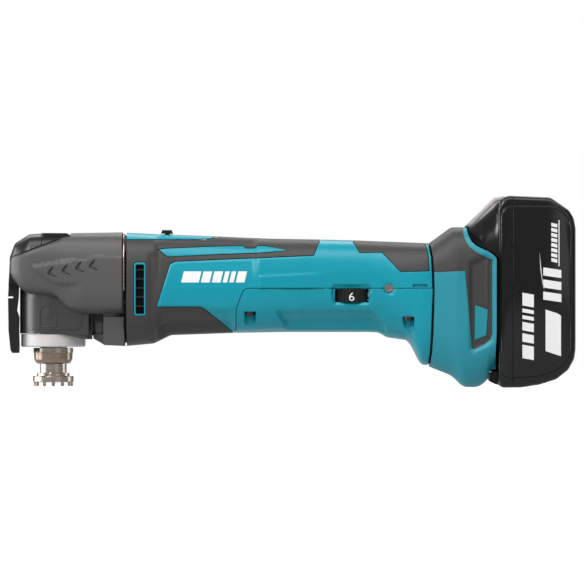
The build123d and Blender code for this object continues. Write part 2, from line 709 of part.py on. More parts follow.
def mount_grip():
    """Soft frame over the upper front of the mount and around its side badge."""
    edge = [
        (MOUNT_START - 1, 66.3), (246.0, 66.7), (247.4, 60.0), (250.6, 20.0), (251.4, 19.4), (259.6, 23.4),
        (262.5, 28.0), (262.5, 74.0), (257.4, 76.6), (251.6, 79.6), (247.6, 83.4), (245.6, 88.4),
        (245.2, 96.0), (MOUNT_START - 1, 96.0),
    ]
    badge = [(253.4, 45.6), (261.0, 43.0), (260.7, 27.6), (253.2, 24.2)]
    return (mount_hull() - mount_hull(SKIN, reach=3.0)) & (slab(edge, 60) - slab(badge, 60))


def mount_housing(grip):
    """Hard shell of the battery mount: a spigot into the motor housing and the rail channel."""
    hollow = mount_hull(WALL) & block(230.5, 247.2, -60, 60, -20, 120)
    spigot = body_hull(WALL + SLIP, reach=8.0) - body_hull(WALL + 2.8, reach=14.0)
    spigot &= block(219.0, MOUNT_START + 1.0, -60, 60, 0, 120)
    bore = body_hull(WALL + 2.8, reach=14.0) & block(MOUNT_START - 2, 231.0, -60, 60, 0, 120)
    channel = block(CHANNEL_X, 280, -CHANNEL_HALF, CHANNEL_HALF, 6.0, 120)
    body = (mount_hull() - grip + spigot) - [hollow, bore, channel]
    body += sides(RAIL_START, 264.9, RAIL_IN, CHANNEL_HALF + 1.0, 8.0, 72.0)
    latch_way = block(247.6, CHANNEL_X + 1, -9.0, 9.0, 74.0, 120)
    return body - [latch_way, block(246.0, 252.0, -18.0, 18.0, 10.0, 40.0)]


def terminal_block():
    """Moulded block with the two blades that reach into the battery."""
    body = block(240.0, CHANNEL_X, -17.9, 17.9, 10.1, 39.9)
    return body + sides(249.0, 256.0, 11.5, 12.5, 13.0, 27.0)


def battery_leads():
    """Two insulated wires from the terminals to the switch."""
    wires = []
    for side in (1, -1):
        route = [(240.0, side * 8, 30), (231.0, side * 8, 30), (224.0, side * 5, 72), (212.0, side * 5, 72)]
        path = FilletPolyline(*route, radius=6)
        wires.append(sweep(Plane(origin=path @ 0, z_dir=path % 0) * Circle(1.1), path=path))
    return together(wires)


# ---------------------------------------------------------------- battery

BATTERY_SIDE = [
    (266.2, 2.0), (266.6, -1.2), (268.6, -3.1), (280.0, -2.9), (291.0, -1.2), (301.0, 2.0), (308.0, 7.5),
    (311.6, 14.0), (BATTERY_BACK, 20.0), (BATTERY_BACK, 92.0), (311.4, 98.0), (308.4, 103.0),
    (297.5, 110.6), (272.6, 111.7), (268.0, 110.2), (266.2, 104.0),
]
HOOD = [
    (250.6, 86.6), (250.6, 95.6), (267.6, 110.8), (272.0, 111.7), (272.0, 76.4), (266.0, 76.4),
    (260.0, 79.6), (254.4, 82.5),
]
HOOD_CHEEKS = [
    (252.0, 89.0), (252.0, 96.8), (267.6, 110.8), (272.0, 111.7), (272.0, 77.8), (266.0, 77.8),
    (260.0, 81.0), (255.0, 84.2),
]
HOOD_HALF = 33.0  # half of the hood's width above the rim of the mount
BUTTON = [(247.6, 94.3), (265.0, 110.4), (271.6, 110.4), (256.0, 96.0), (256.0, 92.2), (249.4, 92.2)]


def battery_hull():
    hull = slab(BATTERY_SIDE, BATTERY_HALF)
    rims = [e for e in hull.edges() if abs(abs(e.center().Y) - BATTERY_HALF) < 0.01]
    return softened(hull, rims, 4.5)


def hood():
    """Hood above the rail block, with cheeks that reach over the rim of the mount."""
    cheeks = slab(HOOD_CHEEKS, HOOD_HALF)
    slopes = [e for e in cheeks.edges() if abs(e.center().Y) > HOOD_HALF - 0.1 and e.center().Z > 100]
    return slab(HOOD, 26.9) + softened(cheeks, slopes, 5.0)


def button_way(travel=4.0):
    """Recess in the hood that the release button sinks into."""
    way = [Pos(shift, 0, 0) * slab(BUTTON, 17.3) for shift in (0, travel / 2, travel)]
    return way + [block(246.0, 262.0, -8.3, 8.3, 76.0, 92.3)]


def battery_top():
    """Battery shell on the tool's side, with the rail block and the hood around the button."""
    body = battery_hull() & block(200, BATTERY_SPLIT, -60, 60, -20, 130)
    body += [
        block(250.6, 259.1, -26.9, 26.9, 6.6, 86.0), block(259.0, 266.3, -21.9, 21.9, 6.6, 78.0),
        hood(),
    ]
    hollow = [block(268.4, 280, -34.6, 34.6, 3.0, 104.0), block(253.0, 268.6, -18.0, 18.0, 32.0, 72.0)]
    return body - hollow - sides(250.0, 257.0, 11.0, 13.0, 6.0, 29.0) - button_way()


def battery_bottom():
    """Tub that holds the cells."""
    body = battery_hull() & block(BATTERY_SPLIT + 0.05, 330, -60, 60, -20, 130)
    body -= [block(270, 308.6, -34.6, 34.6, 8.0, 100.5), block(270, 303.0, -34.6, 34.6, 3.0, 104.0)]
    return body - post(291.0, 0, 5.0, -3.0, 4.0)


def battery_cells():
    """Ten round cells in two layers of five."""
    places = [(x, 17.4 + 18.3 * i) for x in (280.0, 298.6) for i in range(5)]
    return together([rod(x, z, 9.0, -32.5, 32.5) for x, z in places])


def battery_board():
    return block(262.0, 263.6, -15.0, 15.0, 34.0, 70.0) + block(258.0, 262.0, -6.0, 6.0, 40.0, 52.0)


def battery_button():
    """Release button with the latch hook below it."""
    return slab(BUTTON, 17.0) + block(248.2, 256.0, -8.0, 8.0, 78.0, 92.4)


def latch_spring():
    """Coil spring behind the release button, at its pressed length."""
    return bar(259.8, 261.8, 3.2, z=84.0) - bar(259.0, 263.0, 2.3, z=84.0)


def gauge_button():
    """Push button of the charge gauge, on the end of the battery."""
    return post(291.0, 0, 4.7, -0.6, 2.6) + post(291.0, 0, 6.0, 3.1, 4.0) + post(291.0, 0, 3.0, 2.0, 3.4)


def build():
    """Every sub-part by its node name."""
    front, rear, plate = grip_front(), grip_rear(), switch_plate()
    frame = mount_grip()
    cover = head_cover()
    grooves = chevrons() - block(-60, 60, -24.3, 24.3, 0, 120)
    return {
        "gear_housing": gear_housing(),
        "head_cover": cover - grooves,
        "clamp_lever": clamp_lever(),
        "lever_pin": lever_pin(),
        "lamp_housing": lamp_housing(),
        "lamp_lens": lamp_lens(),
        "retainer_ring": retainer_ring(),
        "retainer_screws": retainer_screws(),
        "dust_seal": dust_seal(),
        "spindle": spindle(),
        "spindle_cap": spindle_cap(),
        "spindle_washer": spindle_washer(),
        "lower_bearing": lower_bearing(),
        "upper_bearing": upper_bearing(),
        "swing_arm": swing_arm(),
        "holder_bolt": holder_bolt(),
        "clamp_rod": clamp_rod(),
        "clamp_spring": clamp_spring(),
        "motor_shaft": motor_shaft(),
        "eccentric_bearing": eccentric_bearing(),
        "counterweight": counterweight(),
        "front_bearing": front_bearing(),
        "fan": fan(),
        "armature_core": armature_core(),
        "windings": windings(),
        "commutator": commutator(),
        "rear_bearing": rear_bearing(),
        "motor_can": motor_can(),
        "magnets": magnets(),
        "brush_plate": brush_plate(),
        "brush_boxes": brush_boxes(),
        "carbon_brushes": carbon_brushes(),
        "brush_springs": brush_springs(),
        "housing_upper": housing_upper(front, rear, plate),
        "housing_lower": housing_lower(),
        "grip_front": front,
        "grip_rear": rear,
        "lower_screws": lower_screws(),
        "side_screws": side_screws(),
        "switch_plate": plate,
        "vent_grilles": vent_grilles(),
        "neck_ring": neck_ring(),
        "switch_knob": switch_knob(),
        "switch_rod": switch_rod(),
        "switch_box": switch_box(),
        "speed_dial": speed_dial(),
        "controller": controller(),
        "mount_housing": mount_housing(frame),
        "mount_grip": frame,
        "terminal_block": terminal_block(),
        "battery_leads": battery_leads(),
        "battery_top": battery_top(),
        "battery_bottom": battery_bottom(),
        "battery_cells": battery_cells(),
        "battery_board": battery_board(),
        "battery_button": battery_button(),
        "latch_spring": latch_spring(),
        "gauge_button": gauge_button(),
    }


os.makedirs("parts", exist_ok=True)
for node, shape in build().items():
    export_step(shape, f"parts/{node}.step")
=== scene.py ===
"""Looks of the cordless oscillating multi-tool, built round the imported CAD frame.

Lengths in this file are millimetres in the row frame, and become metres when a mesh is made.
X runs from the head to the battery, Z is the spindle axis, and the front view looks along +Y.
"""

import json
import math

import bmesh
import bpy
import numpy as np
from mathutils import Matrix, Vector

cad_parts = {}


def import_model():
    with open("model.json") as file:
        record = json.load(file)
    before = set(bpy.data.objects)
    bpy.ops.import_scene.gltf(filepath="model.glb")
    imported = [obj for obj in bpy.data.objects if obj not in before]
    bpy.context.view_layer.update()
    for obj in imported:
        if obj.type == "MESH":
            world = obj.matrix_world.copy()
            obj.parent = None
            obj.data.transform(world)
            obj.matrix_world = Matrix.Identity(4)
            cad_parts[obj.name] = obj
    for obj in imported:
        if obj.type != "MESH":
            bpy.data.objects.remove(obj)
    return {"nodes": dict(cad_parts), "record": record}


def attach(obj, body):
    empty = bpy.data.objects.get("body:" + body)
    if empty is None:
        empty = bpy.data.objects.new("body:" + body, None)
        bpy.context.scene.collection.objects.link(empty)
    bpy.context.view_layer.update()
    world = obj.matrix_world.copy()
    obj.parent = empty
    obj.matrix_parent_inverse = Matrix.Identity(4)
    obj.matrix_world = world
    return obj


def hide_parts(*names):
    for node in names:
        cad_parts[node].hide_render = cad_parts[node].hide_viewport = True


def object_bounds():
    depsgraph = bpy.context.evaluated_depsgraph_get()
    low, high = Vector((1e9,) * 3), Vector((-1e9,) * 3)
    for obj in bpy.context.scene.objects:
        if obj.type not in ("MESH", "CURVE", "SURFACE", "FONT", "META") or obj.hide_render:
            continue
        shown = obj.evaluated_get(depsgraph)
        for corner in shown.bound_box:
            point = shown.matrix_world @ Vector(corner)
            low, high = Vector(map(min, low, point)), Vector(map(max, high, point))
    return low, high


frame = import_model()
cad_low, cad_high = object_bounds()

MM = 0.001
SEAM = 0.17  # half of the gap left between neighbouring shells
SHELL = 2.4  # thickness of the moulded shells
SKIN = 0.8  # depth below the surface at which wells and seams are backed; the seams' backing is painted shade
FAR = 60.0  # beyond the widest piece, for cutters that go right through
SCREW_WELLS = [(118.2, 24.7, 42.4), (212.8, 28.8, 39.2)]  # x, distance from the middle plane, top
SIDE_SCREW_X = 201.2
DIAL_CENTRE = (178.8, -17.4, 51.0)
DIAL_RADIUS = 12.06  # of the dial's rim, where the numbers stand

# ------------------------------------------------------------------ forms
# Each form is a body lofted along X. Every row is (x, value), with corners softened over "blur".
# "up" and "down" are the squareness of the superellipse above and below the centre: 2 is round.

BODY = {
    "top": [(44, 89.7), (60, 88.9), (80, 88.2), (98, 87.5), (110, 86.9), (130, 86.1), (160, 85.6),
            (180, 85.1), (200, 84.3), (222, 83.5), (230, 82.9)],
    "bottom": [(44, 21.7), (60.5, 23.2), (70.5, 28.2), (110, 29.6), (140, 30.1), (188, 30.1), (195, 29.8),
               (200, 26.9), (212, 25.2), (215, 21.4), (218, 14.9), (220.3, 10.9), (222, 10.3), (230, 10.0)],
    "half": [(44, 30.4), (60, 30.8), (73, 29.6), (190, 29.5), (203, 30.6), (213, 32.4), (222, 33.8),
             (230, 34.2)],
    "up": [(44, 3.2), (200, 3.2), (215, 3.6), (230, 4.0)],
    "down": [(44, 2.9), (110, 2.8), (140, 2.5), (190, 2.4), (205, 2.8), (220, 3.4), (230, 3.6)],
    "centre": [(44, 57), (230, 57)],
    "blur": 0.9,
}
HEAD = {
    "top": [(-26.2, 74.6), (-25.6, 76.0), (-23, 83.2), (-14.3, 88.7), (-5, 89.3), (12, 89.4), (43, 89.9)],
    "bottom": [(-26.2, 64.2), (-24, 61.0), (-20, 56.4), (-15, 53.0), (-9, 50.3), (0, 48.3), (3, 46.8),
               (6, 43.4), (9, 40.7), (12, 39.6), (43, 39.6)],
    "up": [(-26, 3.6), (-10, 4.0), (43, 3.6)],
    "down": [(-26, 4.0), (0, 4.4), (12, 4.6), (43, 4.6)],
    "centre": [(-26, 69.5), (-12, 67), (5, 64), (43, 62)],
    "blur": 0.45,
}
MOUNT = {
    "top": [(222, 80.6), (226.3, 84.0), (238.5, 92.9), (247.5, 92.9), (268, 92.9)],
    "bottom": [(222, 11.0), (230, 7.4), (237, 4.7), (240, 2.8), (244.6, -1.8), (247, -2.9), (253, -3.0),
               (256.4, -1.9), (260.4, 1.6), (262.6, 6.0), (268, 9.0)],
    "half": [(222, 34.2), (232, 36.0), (242, 37.6), (268, 38.0)],
    "up": [(222, 4.0), (268, 4.6)],
    "down": [(222, 3.6), (268, 4.4)],
    "centre": [(222, 57), (240, 50), (268, 48)],
    "blur": 0.8,
}
HOOD = {
    "top": [(244, 91.0), (247.6, 94.3), (265, 110.4), (268, 111.3), (275, 111.3)],
    "bottom": [(244, 60), (275, 60)],
    "half": [(244, 22), (250, 27), (258, 32.4), (266, 35.4), (275, 35.6)],
    "up": [(244, 2.6), (275, 3.0)],
    "down": [(244, 8), (275, 8)],
    "centre": [(244, 74), (275, 74)],
    "blur": 0.8,
}

# Side outlines, as (x, z) points.
BODY_EDGE = [(223.6, 84.4), (225.1, 80.8), (226.2, 75), (226.8, 66), (227.1, 56), (226.9, 45), (226.4, 30),
             (225.7, 18), (224.8, 12), (224.0, 9.0)]
MOUNT_EDGE = [(x + 1.25, z) for x, z in BODY_EDGE]
SPLIT = 56.3
PANEL = [(62.2, 45.2), (70.3, 70.8), (73.4, 72.3), (100, 73.5), (120, 74.3), (156, 75.9), (160.4, 86),
         (160.4, 95), (178.7, 95), (178.9, 85.4), (183.6, 77.6), (197, 77.8), (208, 66.2), (225.2, 66.6),
         (224.8, 75.0), (223.8, 80.4), (222.4, 84.2), (221.6, 88), (222.6, 88), *BODY_EDGE, (220, 5),
         (108.4, 5), (108.4, 29.8), (90.6, 44.4), (88.4, 45.2)]
LOWER = [(109.6, 5), (109.9, 43.8), (112.4, 50.8), (114.0, 54.6), (115.6, 55.9), (118, SPLIT), (227.4, SPLIT),
         *BODY_EDGE[5:], (220, 5)]
STRIPE = [(63.2, 79.3), (69.0, 75.1), (100, 76.5), (122, 77.3), (130, 77.8), (141, 79.0), (130, 81.3),
          (126, 81.8), (122.6, 81.7), (121, 80.3), (115.6, 80.3), (113.6, 81.8), (90, 81.2), (66.6, 80.1)]
TOP_PLATE = [(40, 85.4), (90, 85.4), (93.5, 85.7), (96.4, 86.5), (99.2, 87.7), (99.2, 95), (40, 95)]
VENT = [(49.9, 41.0), (54.9, 41.0), (54.9, 70.5), (49.9, 70.5)]
VENT_FRAME = [(48.7, 39.8), (56.0, 39.8), (56.0, 71.9), (48.7, 71.9)]
DIAL_WINDOW = [(168.8, 48.0), (189.0, 48.0), (189.0, 55.9), (168.8, 55.9)]
DIAL_FRAME = [(168.3, 46.0), (188.9, 46.0), (190.4, 48.6), (191.4, 56.2), (189.7, 59.0), (168.4, 59.0),
              (166.0, 56.2), (166.9, 48.6)]
SIDE_SLOT = [(215.4, 57.0), (224.2, 57.0), (224.2, 58.7), (215.4, 58.7)]
MOUNT_RIM = [(247.7, 91.5), (248.6, 87.6), (250.4, 84.2), (253.6, 81.4), (258.6, 79.0), (262.4, 77.0),
             (265.2, 74.4)]
MOUNT_SIDE = [(219, 96), (238.4, 96), (247.6, 96), *MOUNT_RIM, (265.3, 72.0), (265.3, 30), (264.6, 15),
              (262.6, 6), (260, -6), (219, -6)]
MOUNT_DARK = [(219, 65.5), (246.4, 66.6), (248.4, 45), (250.4, 20.6), (251.6, 19.8), (258, 22.9),
              (261.4, 25.6), (262.5, 29), (262.5, 73.2), (258, 75.4), (253, 77.9), (249.4, 80.6), (247, 84),
              (245.6, 88), (245.2, 96), (219, 96)]
MOUNT_FIELD = [(251.3, 20.6), (258, 23.6), (261.2, 26), (262, 29), (262, 72), (258.8, 74), (251.3, 70.4)]
BADGE = [(252.2, 46.4), (260.2, 43.7), (259.2, 28.2), (251.9, 25.2)]
HOOD_SIDE = [*[(x + 0.6, z + 0.7) for x, z in MOUNT_RIM], (272, 75.1), (272, 114), (266, 114), (246.6, 93.4)]
CAP_SEAM = [(-30, 73.1), (10, 88.4), (14, 96), (-30, 96)]


def softened(points, xs, blur):
    """Values along xs through (x, value) points, with corners softened over blur millimetres."""
    step = 0.1
    line_x, line_value = zip(*points)
    reach = int(3 * blur / step)
    fine = np.arange(line_x[0] - 4 * blur, line_x[-1] + 4 * blur, step)
    kernel = np.exp(-0.5 * (np.arange(-reach, reach + 1) * step / blur) ** 2)
    values = np.pad(np.interp(fine, line_x, line_value), reach, mode="edge")
    return np.interp(xs, fine, np.convolve(values, kernel / kernel.sum(), mode="valid"))


def cross_section(top, bottom, half, up, down, centre, count):
    """Evenly spaced (y, z) points round a superellipse with its own squareness above and below."""
    t = np.linspace(0, 2 * math.pi, 1441)
    c, s = np.cos(t), np.sin(t)
    power = np.where(s >= 0, 2 / up, 2 / down)
    y = half * np.sign(c) * np.abs(c) ** power
    z = centre + np.where(s >= 0, top - centre, centre - bottom) * np.sign(s) * np.abs(s) ** power
    along = np.concatenate([[0], np.cumsum(np.hypot(np.diff(y), np.diff(z)))])
    at = np.linspace(0, along[-1], count + 1)[:-1]
    return np.interp(at, along, y), np.interp(at, along, z)


def grid_of(form, xs, count, inset=0.0):
    """Grid of points [station, round, xyz] on a form, drawn in by inset."""
    blur = form["blur"]
    rows = {k: softened(form[k], xs, blur) for k in ("top", "bottom", "half", "up", "down", "centre")}
    grid = np.zeros((len(xs), count, 3))
    for i, x in enumerate(xs):
        y, z = cross_section(
            rows["top"][i] - inset, rows["bottom"][i] + inset, rows["half"][i] - inset,
            rows["up"][i], rows["down"][i], rows["centre"][i], count,
        )
        grid[i, :, 0], grid[i, :, 1], grid[i, :, 2] = x, y, z
    return grid


def pushed(grid, depth):
    """The grid moved along its outward direction across X by depth(x, |y|, z), in millimetres."""
    ahead, behind = np.roll(grid, -1, axis=1), np.roll(grid, 1, axis=1)
    run = ahead - behind
    out = np.stack([np.zeros(run.shape[:2]), run[..., 2], -run[..., 1]], axis=-1)
    out /= np.linalg.norm(out, axis=-1, keepdims=True) + 1e-9
    return grid + out * depth(grid[..., 0], np.abs(grid[..., 1]), grid[..., 2])[..., None]


def mesh_object(name, points, faces):
    """New object from millimetre points and face index lists, with its normals pointing out."""
    mesh = bpy.data.meshes.new(name)
    mesh.from_pydata((np.asarray(points, float) * MM).tolist(), [], faces)
    work = bmesh.new()
    work.from_mesh(mesh)
    bmesh.ops.recalc_face_normals(work, faces=work.faces)
    work.to_mesh(mesh)
    work.free()
    obj = bpy.data.objects.new(name, mesh)
    bpy.context.scene.collection.objects.link(obj)
    return obj


def lofted(name, grid):
    """Closed object from a grid of rings, with flat ends."""
    stations, count = grid.shape[:2]
    faces = [list(range(count)), [(stations - 1) * count + k for k in range(count)]]
    for i in range(stations - 1):
        a, b = i * count, (i + 1) * count
        faces += [[a + k, a + (k + 1) % count, b + (k + 1) % count, b + k] for k in range(count)]
    return mesh_object(name, grid.reshape(-1, 3), faces)


def prism(name, points, near=-FAR, far=FAR):
    """Solid with a side outline, from y = near to y = far."""
    count = len(points)
    ends = [(x, near, z) for x, z in points] + [(x, far, z) for x, z in points]
    faces = [list(range(count)), list(range(count, 2 * count))]
    faces += [[k, (k + 1) % count, count + (k + 1) % count, count + k] for k in range(count)]
    return mesh_object(name, ends, faces)


def inset(points, distance):
    """Closed outline moved inwards by distance."""
    p = np.array(points, float)
    before, after = p - np.roll(p, 1, axis=0), np.roll(p, -1, axis=0) - p
    turn = np.sum(p[:, 0] * np.roll(p[:, 1], -1) - np.roll(p[:, 0], -1) * p[:, 1])
    side = 1 if turn > 0 else -1
    n1 = np.stack([-before[:, 1], before[:, 0]], 1) / (np.linalg.norm(before, axis=1, keepdims=True) + 1e-9)
    n2 = np.stack([-after[:, 1], after[:, 0]], 1) / (np.linalg.norm(after, axis=1, keepdims=True) + 1e-9)
    middle = n1 + n2
    middle /= np.maximum(np.sum(middle * n1, axis=1, keepdims=True), 0.35)
    return [tuple(q) for q in p + side * distance * middle]


def rounded(points, radius, steps=5):
    """Closed outline with its corners rounded, by less where the sides are short."""
    result = []
    count = len(points)
    for i, corner in enumerate(points):
        here = np.array(corner, float)
        to_last = np.array(points[i - 1], float) - here
        to_next = np.array(points[(i + 1) % count], float) - here
        a, b = np.linalg.norm(to_last), np.linalg.norm(to_next)
        angle = math.acos(np.clip(to_last @ to_next / (a * b), -1, 1))
        reach = min(radius / max(math.tan(angle / 2), 1e-3), 0.45 * a, 0.45 * b)
        start, end = here + to_last / a * reach, here + to_next / b * reach
        for t in np.linspace(0, 1, steps):
            result.append(tuple((1 - t) ** 2 * start + 2 * t * (1 - t) * here + t * t * end))
    return result


def settle(obj):
    """Makes the object's modifiers part of its mesh."""
    graph = bpy.context.evaluated_depsgraph_get()
    mesh = bpy.data.meshes.new_from_object(obj.evaluated_get(graph))
    obj.modifiers.clear()
    obj.data = mesh


def combine(obj, other, how):
    """Boolean of obj with other, which it uses up: DIFFERENCE, INTERSECT or UNION."""
    modifier = obj.modifiers.new(how, "BOOLEAN")
    modifier.operation = how
    modifier.solver = "EXACT"
    modifier.use_hole_tolerant = True
    modifier.object = other
    settle(obj)
    bpy.data.objects.remove(other)
    return obj


def copy_of(obj, name):
    """Second object with its own copy of the mesh."""
    twin = bpy.data.objects.new(name, obj.data.copy())
    bpy.context.scene.collection.objects.link(twin)
    return twin


def smooth(obj, degrees=32):
    """Smooth shading with edges sharper than the angle kept sharp."""
    obj.data.polygons.foreach_set("use_smooth", [True] * len(obj.data.polygons))
    obj.data.set_sharp_from_angle(angle=math.radians(degrees))


def ramp(values, low, high):
    """0 at low and 1 at high, with a smooth rise between."""
    t = np.clip((values - low) / (high - low), 0, 1)
    return t * t * (3 - 2 * t)


def inside_distance(x, z, outline):
    """Distance to the outline's edge, positive inside and negative outside."""
    best = np.full(x.shape, 1e9)
    odd = np.zeros(x.shape, bool)
    for (ax, az), (bx, bz) in zip(outline, outline[1:] + outline[:1]):
        dx, dz = bx - ax, bz - az
        t = np.clip(((x - ax) * dx + (z - az) * dz) / (dx * dx + dz * dz + 1e-12), 0, 1)
        best = np.minimum(best, np.hypot(x - ax - t * dx, z - az - t * dz))
        if abs(dz) > 1e-9:
            crosses = ((az > z) != (bz > z)) & (x < (z - az) * dx / dz + ax)
            odd ^= crosses
    return np.where(odd, best, -best)


# ------------------------------------------------------------------ materials

ROUGHNESS_SPREAD = 0.04


def fine_noise(tree, grain, stretch):
    """Output of a noise over the object's own coordinates."""
    coordinates = tree.nodes.new("ShaderNodeTexCoord")
    scaled = tree.nodes.new("ShaderNodeMapping")
    scaled.inputs["Scale"].default_value = stretch
    tree.links.new(coordinates.outputs["Object"], scaled.inputs["Vector"])
    noise = tree.nodes.new("ShaderNodeTexNoise")
    noise.inputs["Scale"].default_value = grain
    noise.inputs["Detail"].default_value = 3.0
    tree.links.new(scaled.outputs["Vector"], noise.inputs["Vector"])
    return noise.outputs["Fac"]


def tinted(tree, noise, colour, speckle):
    """Output of the colour, darker and lighter by the share speckle."""
    tint = tree.nodes.new("ShaderNodeValToRGB")
    tint.color_ramp.elements[0].position = 0.3
    tint.color_ramp.elements[1].position = 0.7
    tint.color_ramp.elements[0].color = [c * (1 - speckle) for c in colour] + [1]
    tint.color_ramp.elements[1].color = [min(1, c * (1 + speckle)) for c in colour] + [1]
    tree.links.new(noise, tint.inputs["Fac"])
    return tint.outputs["Color"]


def uneven(tree, noise, roughness):
    """Output of the roughness, a little lower and higher."""
    dull = tree.nodes.new("ShaderNodeMapRange")
    dull.inputs["To Min"].default_value = max(0.02, roughness - ROUGHNESS_SPREAD)
    dull.inputs["To Max"].default_value = roughness + ROUGHNESS_SPREAD
    tree.links.new(noise, dull.inputs["Value"])
    return dull.outputs["Result"]


def relief(tree, noise, bump, edge):
    """Output of the normal: edges rounded by edge millimetres, and fine bumps."""
    round_off = tree.nodes.new("ShaderNodeBevel")
    round_off.samples = 4
    round_off.inputs["Radius"].default_value = edge * MM
    bumps = tree.nodes.new("ShaderNodeBump")
    bumps.inputs["Strength"].default_value = bump
    bumps.inputs["Distance"].default_value = 0.1 * MM
    tree.links.new(noise, bumps.inputs["Height"])
    tree.links.new(round_off.outputs["Normal"], bumps.inputs["Normal"])
    return bumps.outputs["Normal"]


def material(name, colour, roughness, metallic=0.0, speckle=0.0, grain=600.0, bump=0.0, edge=0.35,
             stretch=(1, 1, 1), specular=0.5):
    """Procedural finish: fine noise varies its colour, roughness and relief, and edges look rounded."""
    made = bpy.data.materials.new(name)
    made.use_nodes = True
    tree = made.node_tree
    shader = tree.nodes["Principled BSDF"]
    shader.inputs["Metallic"].default_value = metallic
    shader.inputs["Specular IOR Level"].default_value = specular
    noise = fine_noise(tree, grain, stretch)
    tree.links.new(tinted(tree, noise, colour, speckle), shader.inputs["Base Color"])
    tree.links.new(uneven(tree, noise, roughness), shader.inputs["Roughness"])
    tree.links.new(relief(tree, noise, bump, edge), shader.inputs["Normal"])
    return made


TEAL = material("teal plastic", (0.0, 0.275, 0.36), 0.34, speckle=0.04, grain=900, bump=0.10, edge=0.8,
                specular=0.35)
TEAL_MATT = material("teal plastic, matt", (0.005, 0.24, 0.31), 0.5, speckle=0.05, grain=900, bump=0.15,
                     edge=0.8)
GRIP = material("soft grip", (0.040, 0.038, 0.037), 0.5, speckle=0.10, grain=1400, bump=0.3, edge=0.5,
                specular=0.4)
BOOT = material("head rubber", (0.072, 0.071, 0.070), 0.46, speckle=0.06, grain=1100, bump=0.2, edge=0.6,
                specular=0.45)
BLACK = material("black moulding", (0.008, 0.008, 0.008), 0.42, speckle=0.1, grain=900, bump=0.1,
                 specular=0.3)
# Painted shade: near-black finish for the sheets and blocks set behind seams and gaps so that they show dark.
PAINTED_SHADE = material("lining", (0.003, 0.003, 0.003), 0.7, speckle=0.1, grain=900, bump=0.1, specular=0.1)
CASE = material("battery case", (0.0055, 0.0055, 0.0055), 0.2, speckle=0.06, grain=500, bump=0.02, edge=0.5,
                specular=0.4)
ENAMEL = material("black enamel", (0.028, 0.028, 0.029), 0.34, speckle=0.06, grain=500, bump=0.1, edge=0.35,
                  specular=0.8)
LEVER = material("lever coat", (0.006, 0.006, 0.006), 0.34, speckle=0.08, grain=700, bump=0.08, edge=0.4)
TURNED = material("turned aluminium", (0.60, 0.59, 0.58), 0.55, 0.4, 0.04, 60, 0.04, stretch=(1, 1, 40))
STEEL = material("ground steel", (0.42, 0.37, 0.32), 0.28, 1.0, 0.08, 60, 0.05, stretch=(1, 1, 30))
PLATED = material("plated steel", (0.30, 0.235, 0.185), 0.24, 1.0, 0.08, 60, 0.05, stretch=(1, 1, 25))
DARK_STEEL = material("oxide steel", (0.06, 0.058, 0.055), 0.38, 1.0, 0.1, 300, 0.1)
COPPER = material("copper", (0.68, 0.30, 0.16), 0.3, 1.0, 0.08, 300, 0.1)
MAGNET = material("magnet", (0.05, 0.05, 0.055), 0.5, 0.6, 0.1, 300, 0.1)
CARBON = material("carbon", (0.02, 0.02, 0.021), 0.6, 0.0, 0.1, 500, 0.2)
CELL = material("cell sleeve", (0.10, 0.28, 0.16), 0.35, 0.0, 0.03, 200, 0.03)
BOARD = material("circuit board", (0.015, 0.12, 0.05), 0.4, 0.0, 0.06, 400, 0.05)
WIRE = material("wire insulation", (0.35, 0.02, 0.02), 0.45, 0.0, 0.05, 300, 0.05)
PRINT = material("white print", (0.80, 0.80, 0.80), 0.45, 0.0, 0.02, 800, 0.02, edge=0.02)
BUTTON = material("button", (0.55, 0.52, 0.51), 0.34, 0.2, 0.04, 500, 0.05, edge=0.4)


def clear_plastic():
    """Finish that lets most of the light through."""
    made = material("clear lens", (0.85, 0.9, 0.95), 0.08)
    made.node_tree.nodes["Principled BSDF"].inputs["Transmission Weight"].default_value = 0.85
    return made


FINISH_OF_SLOT = {
    "teal_plastic": TEAL, "grip_rubber": GRIP, "cover_rubber": BOOT, "black_casting": ENAMEL,
    "bare_aluminium": TURNED, "steel": STEEL, "plated_steel": PLATED, "blued_steel": DARK_STEEL,
    "lever_metal": LEVER, "battery_plastic": CASE, "button_plastic": BUTTON, "black_plastic": BLACK,
    "clear_plastic": clear_plastic(), "copper": COPPER, "motor_steel": STEEL, "magnet": MAGNET,
    "carbon": CARBON, "seal_rubber": BLACK, "cell_jacket": CELL, "circuit_board": BOARD, "wire": WIRE,
}


def paint_frame():
    """Gives each CAD node the finish of its material slot."""
    slots = {row["node"]: row["material_slot"] for row in frame["record"]["subparts"]}
    for name, node in frame["nodes"].items():
        node.data.materials.clear()
        node.data.materials.append(FINISH_OF_SLOT[slots[name]])
        smooth(node, 30)


def place(obj, finish, body, slot, *stands_for):
    """Finishes a piece, hangs it on its CAD body and hides the CAD nodes it stands for."""
    obj.data.materials.clear()
    obj.data.materials.append(finish)
    obj.data.polygons.foreach_set("material_index", [0] * len(obj.data.polygons))
    smooth(obj)
    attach(obj, body)
    if stands_for:
        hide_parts(*stands_for)


# ------------------------------------------------------------------ motor housing


def facet(x, z):
    """Upper flank, which leans in above the split."""
    return -0.10 * np.clip(z - SPLIT, 0, 14) * ramp(x, 60, 64) * (1 - ramp(x, 119, 124))


def wedge(x, z):
    """Raised band over the split that runs out towards the dial."""
    top = 62.8 + 0.05 * (x - 124)
    height = 0.7 * ramp(x, 123.2, 124.4) * (1 - ramp(x, 150, 168)) * (1 - ramp(z, top, top + 1.6))
    return height * ramp(z, SPLIT - 0.4, SPLIT)


def undercut(x, z):
    """Step in the lower flank with a slope below it, behind a slanted front edge."""
    edge = np.where(x < 188, 43.4, 43.4 - 0.09 * (x - 188) ** 2)
    front_limit = ramp(x - 124 - 0.62 * (56 - z), 0, 3)
    depth = -1.5 * ramp(edge - z, 0, 2.4) - 0.28 * np.clip(edge - z, 0, 16)
    return depth * (front_limit * (1 - ramp(x, 198, 203)))


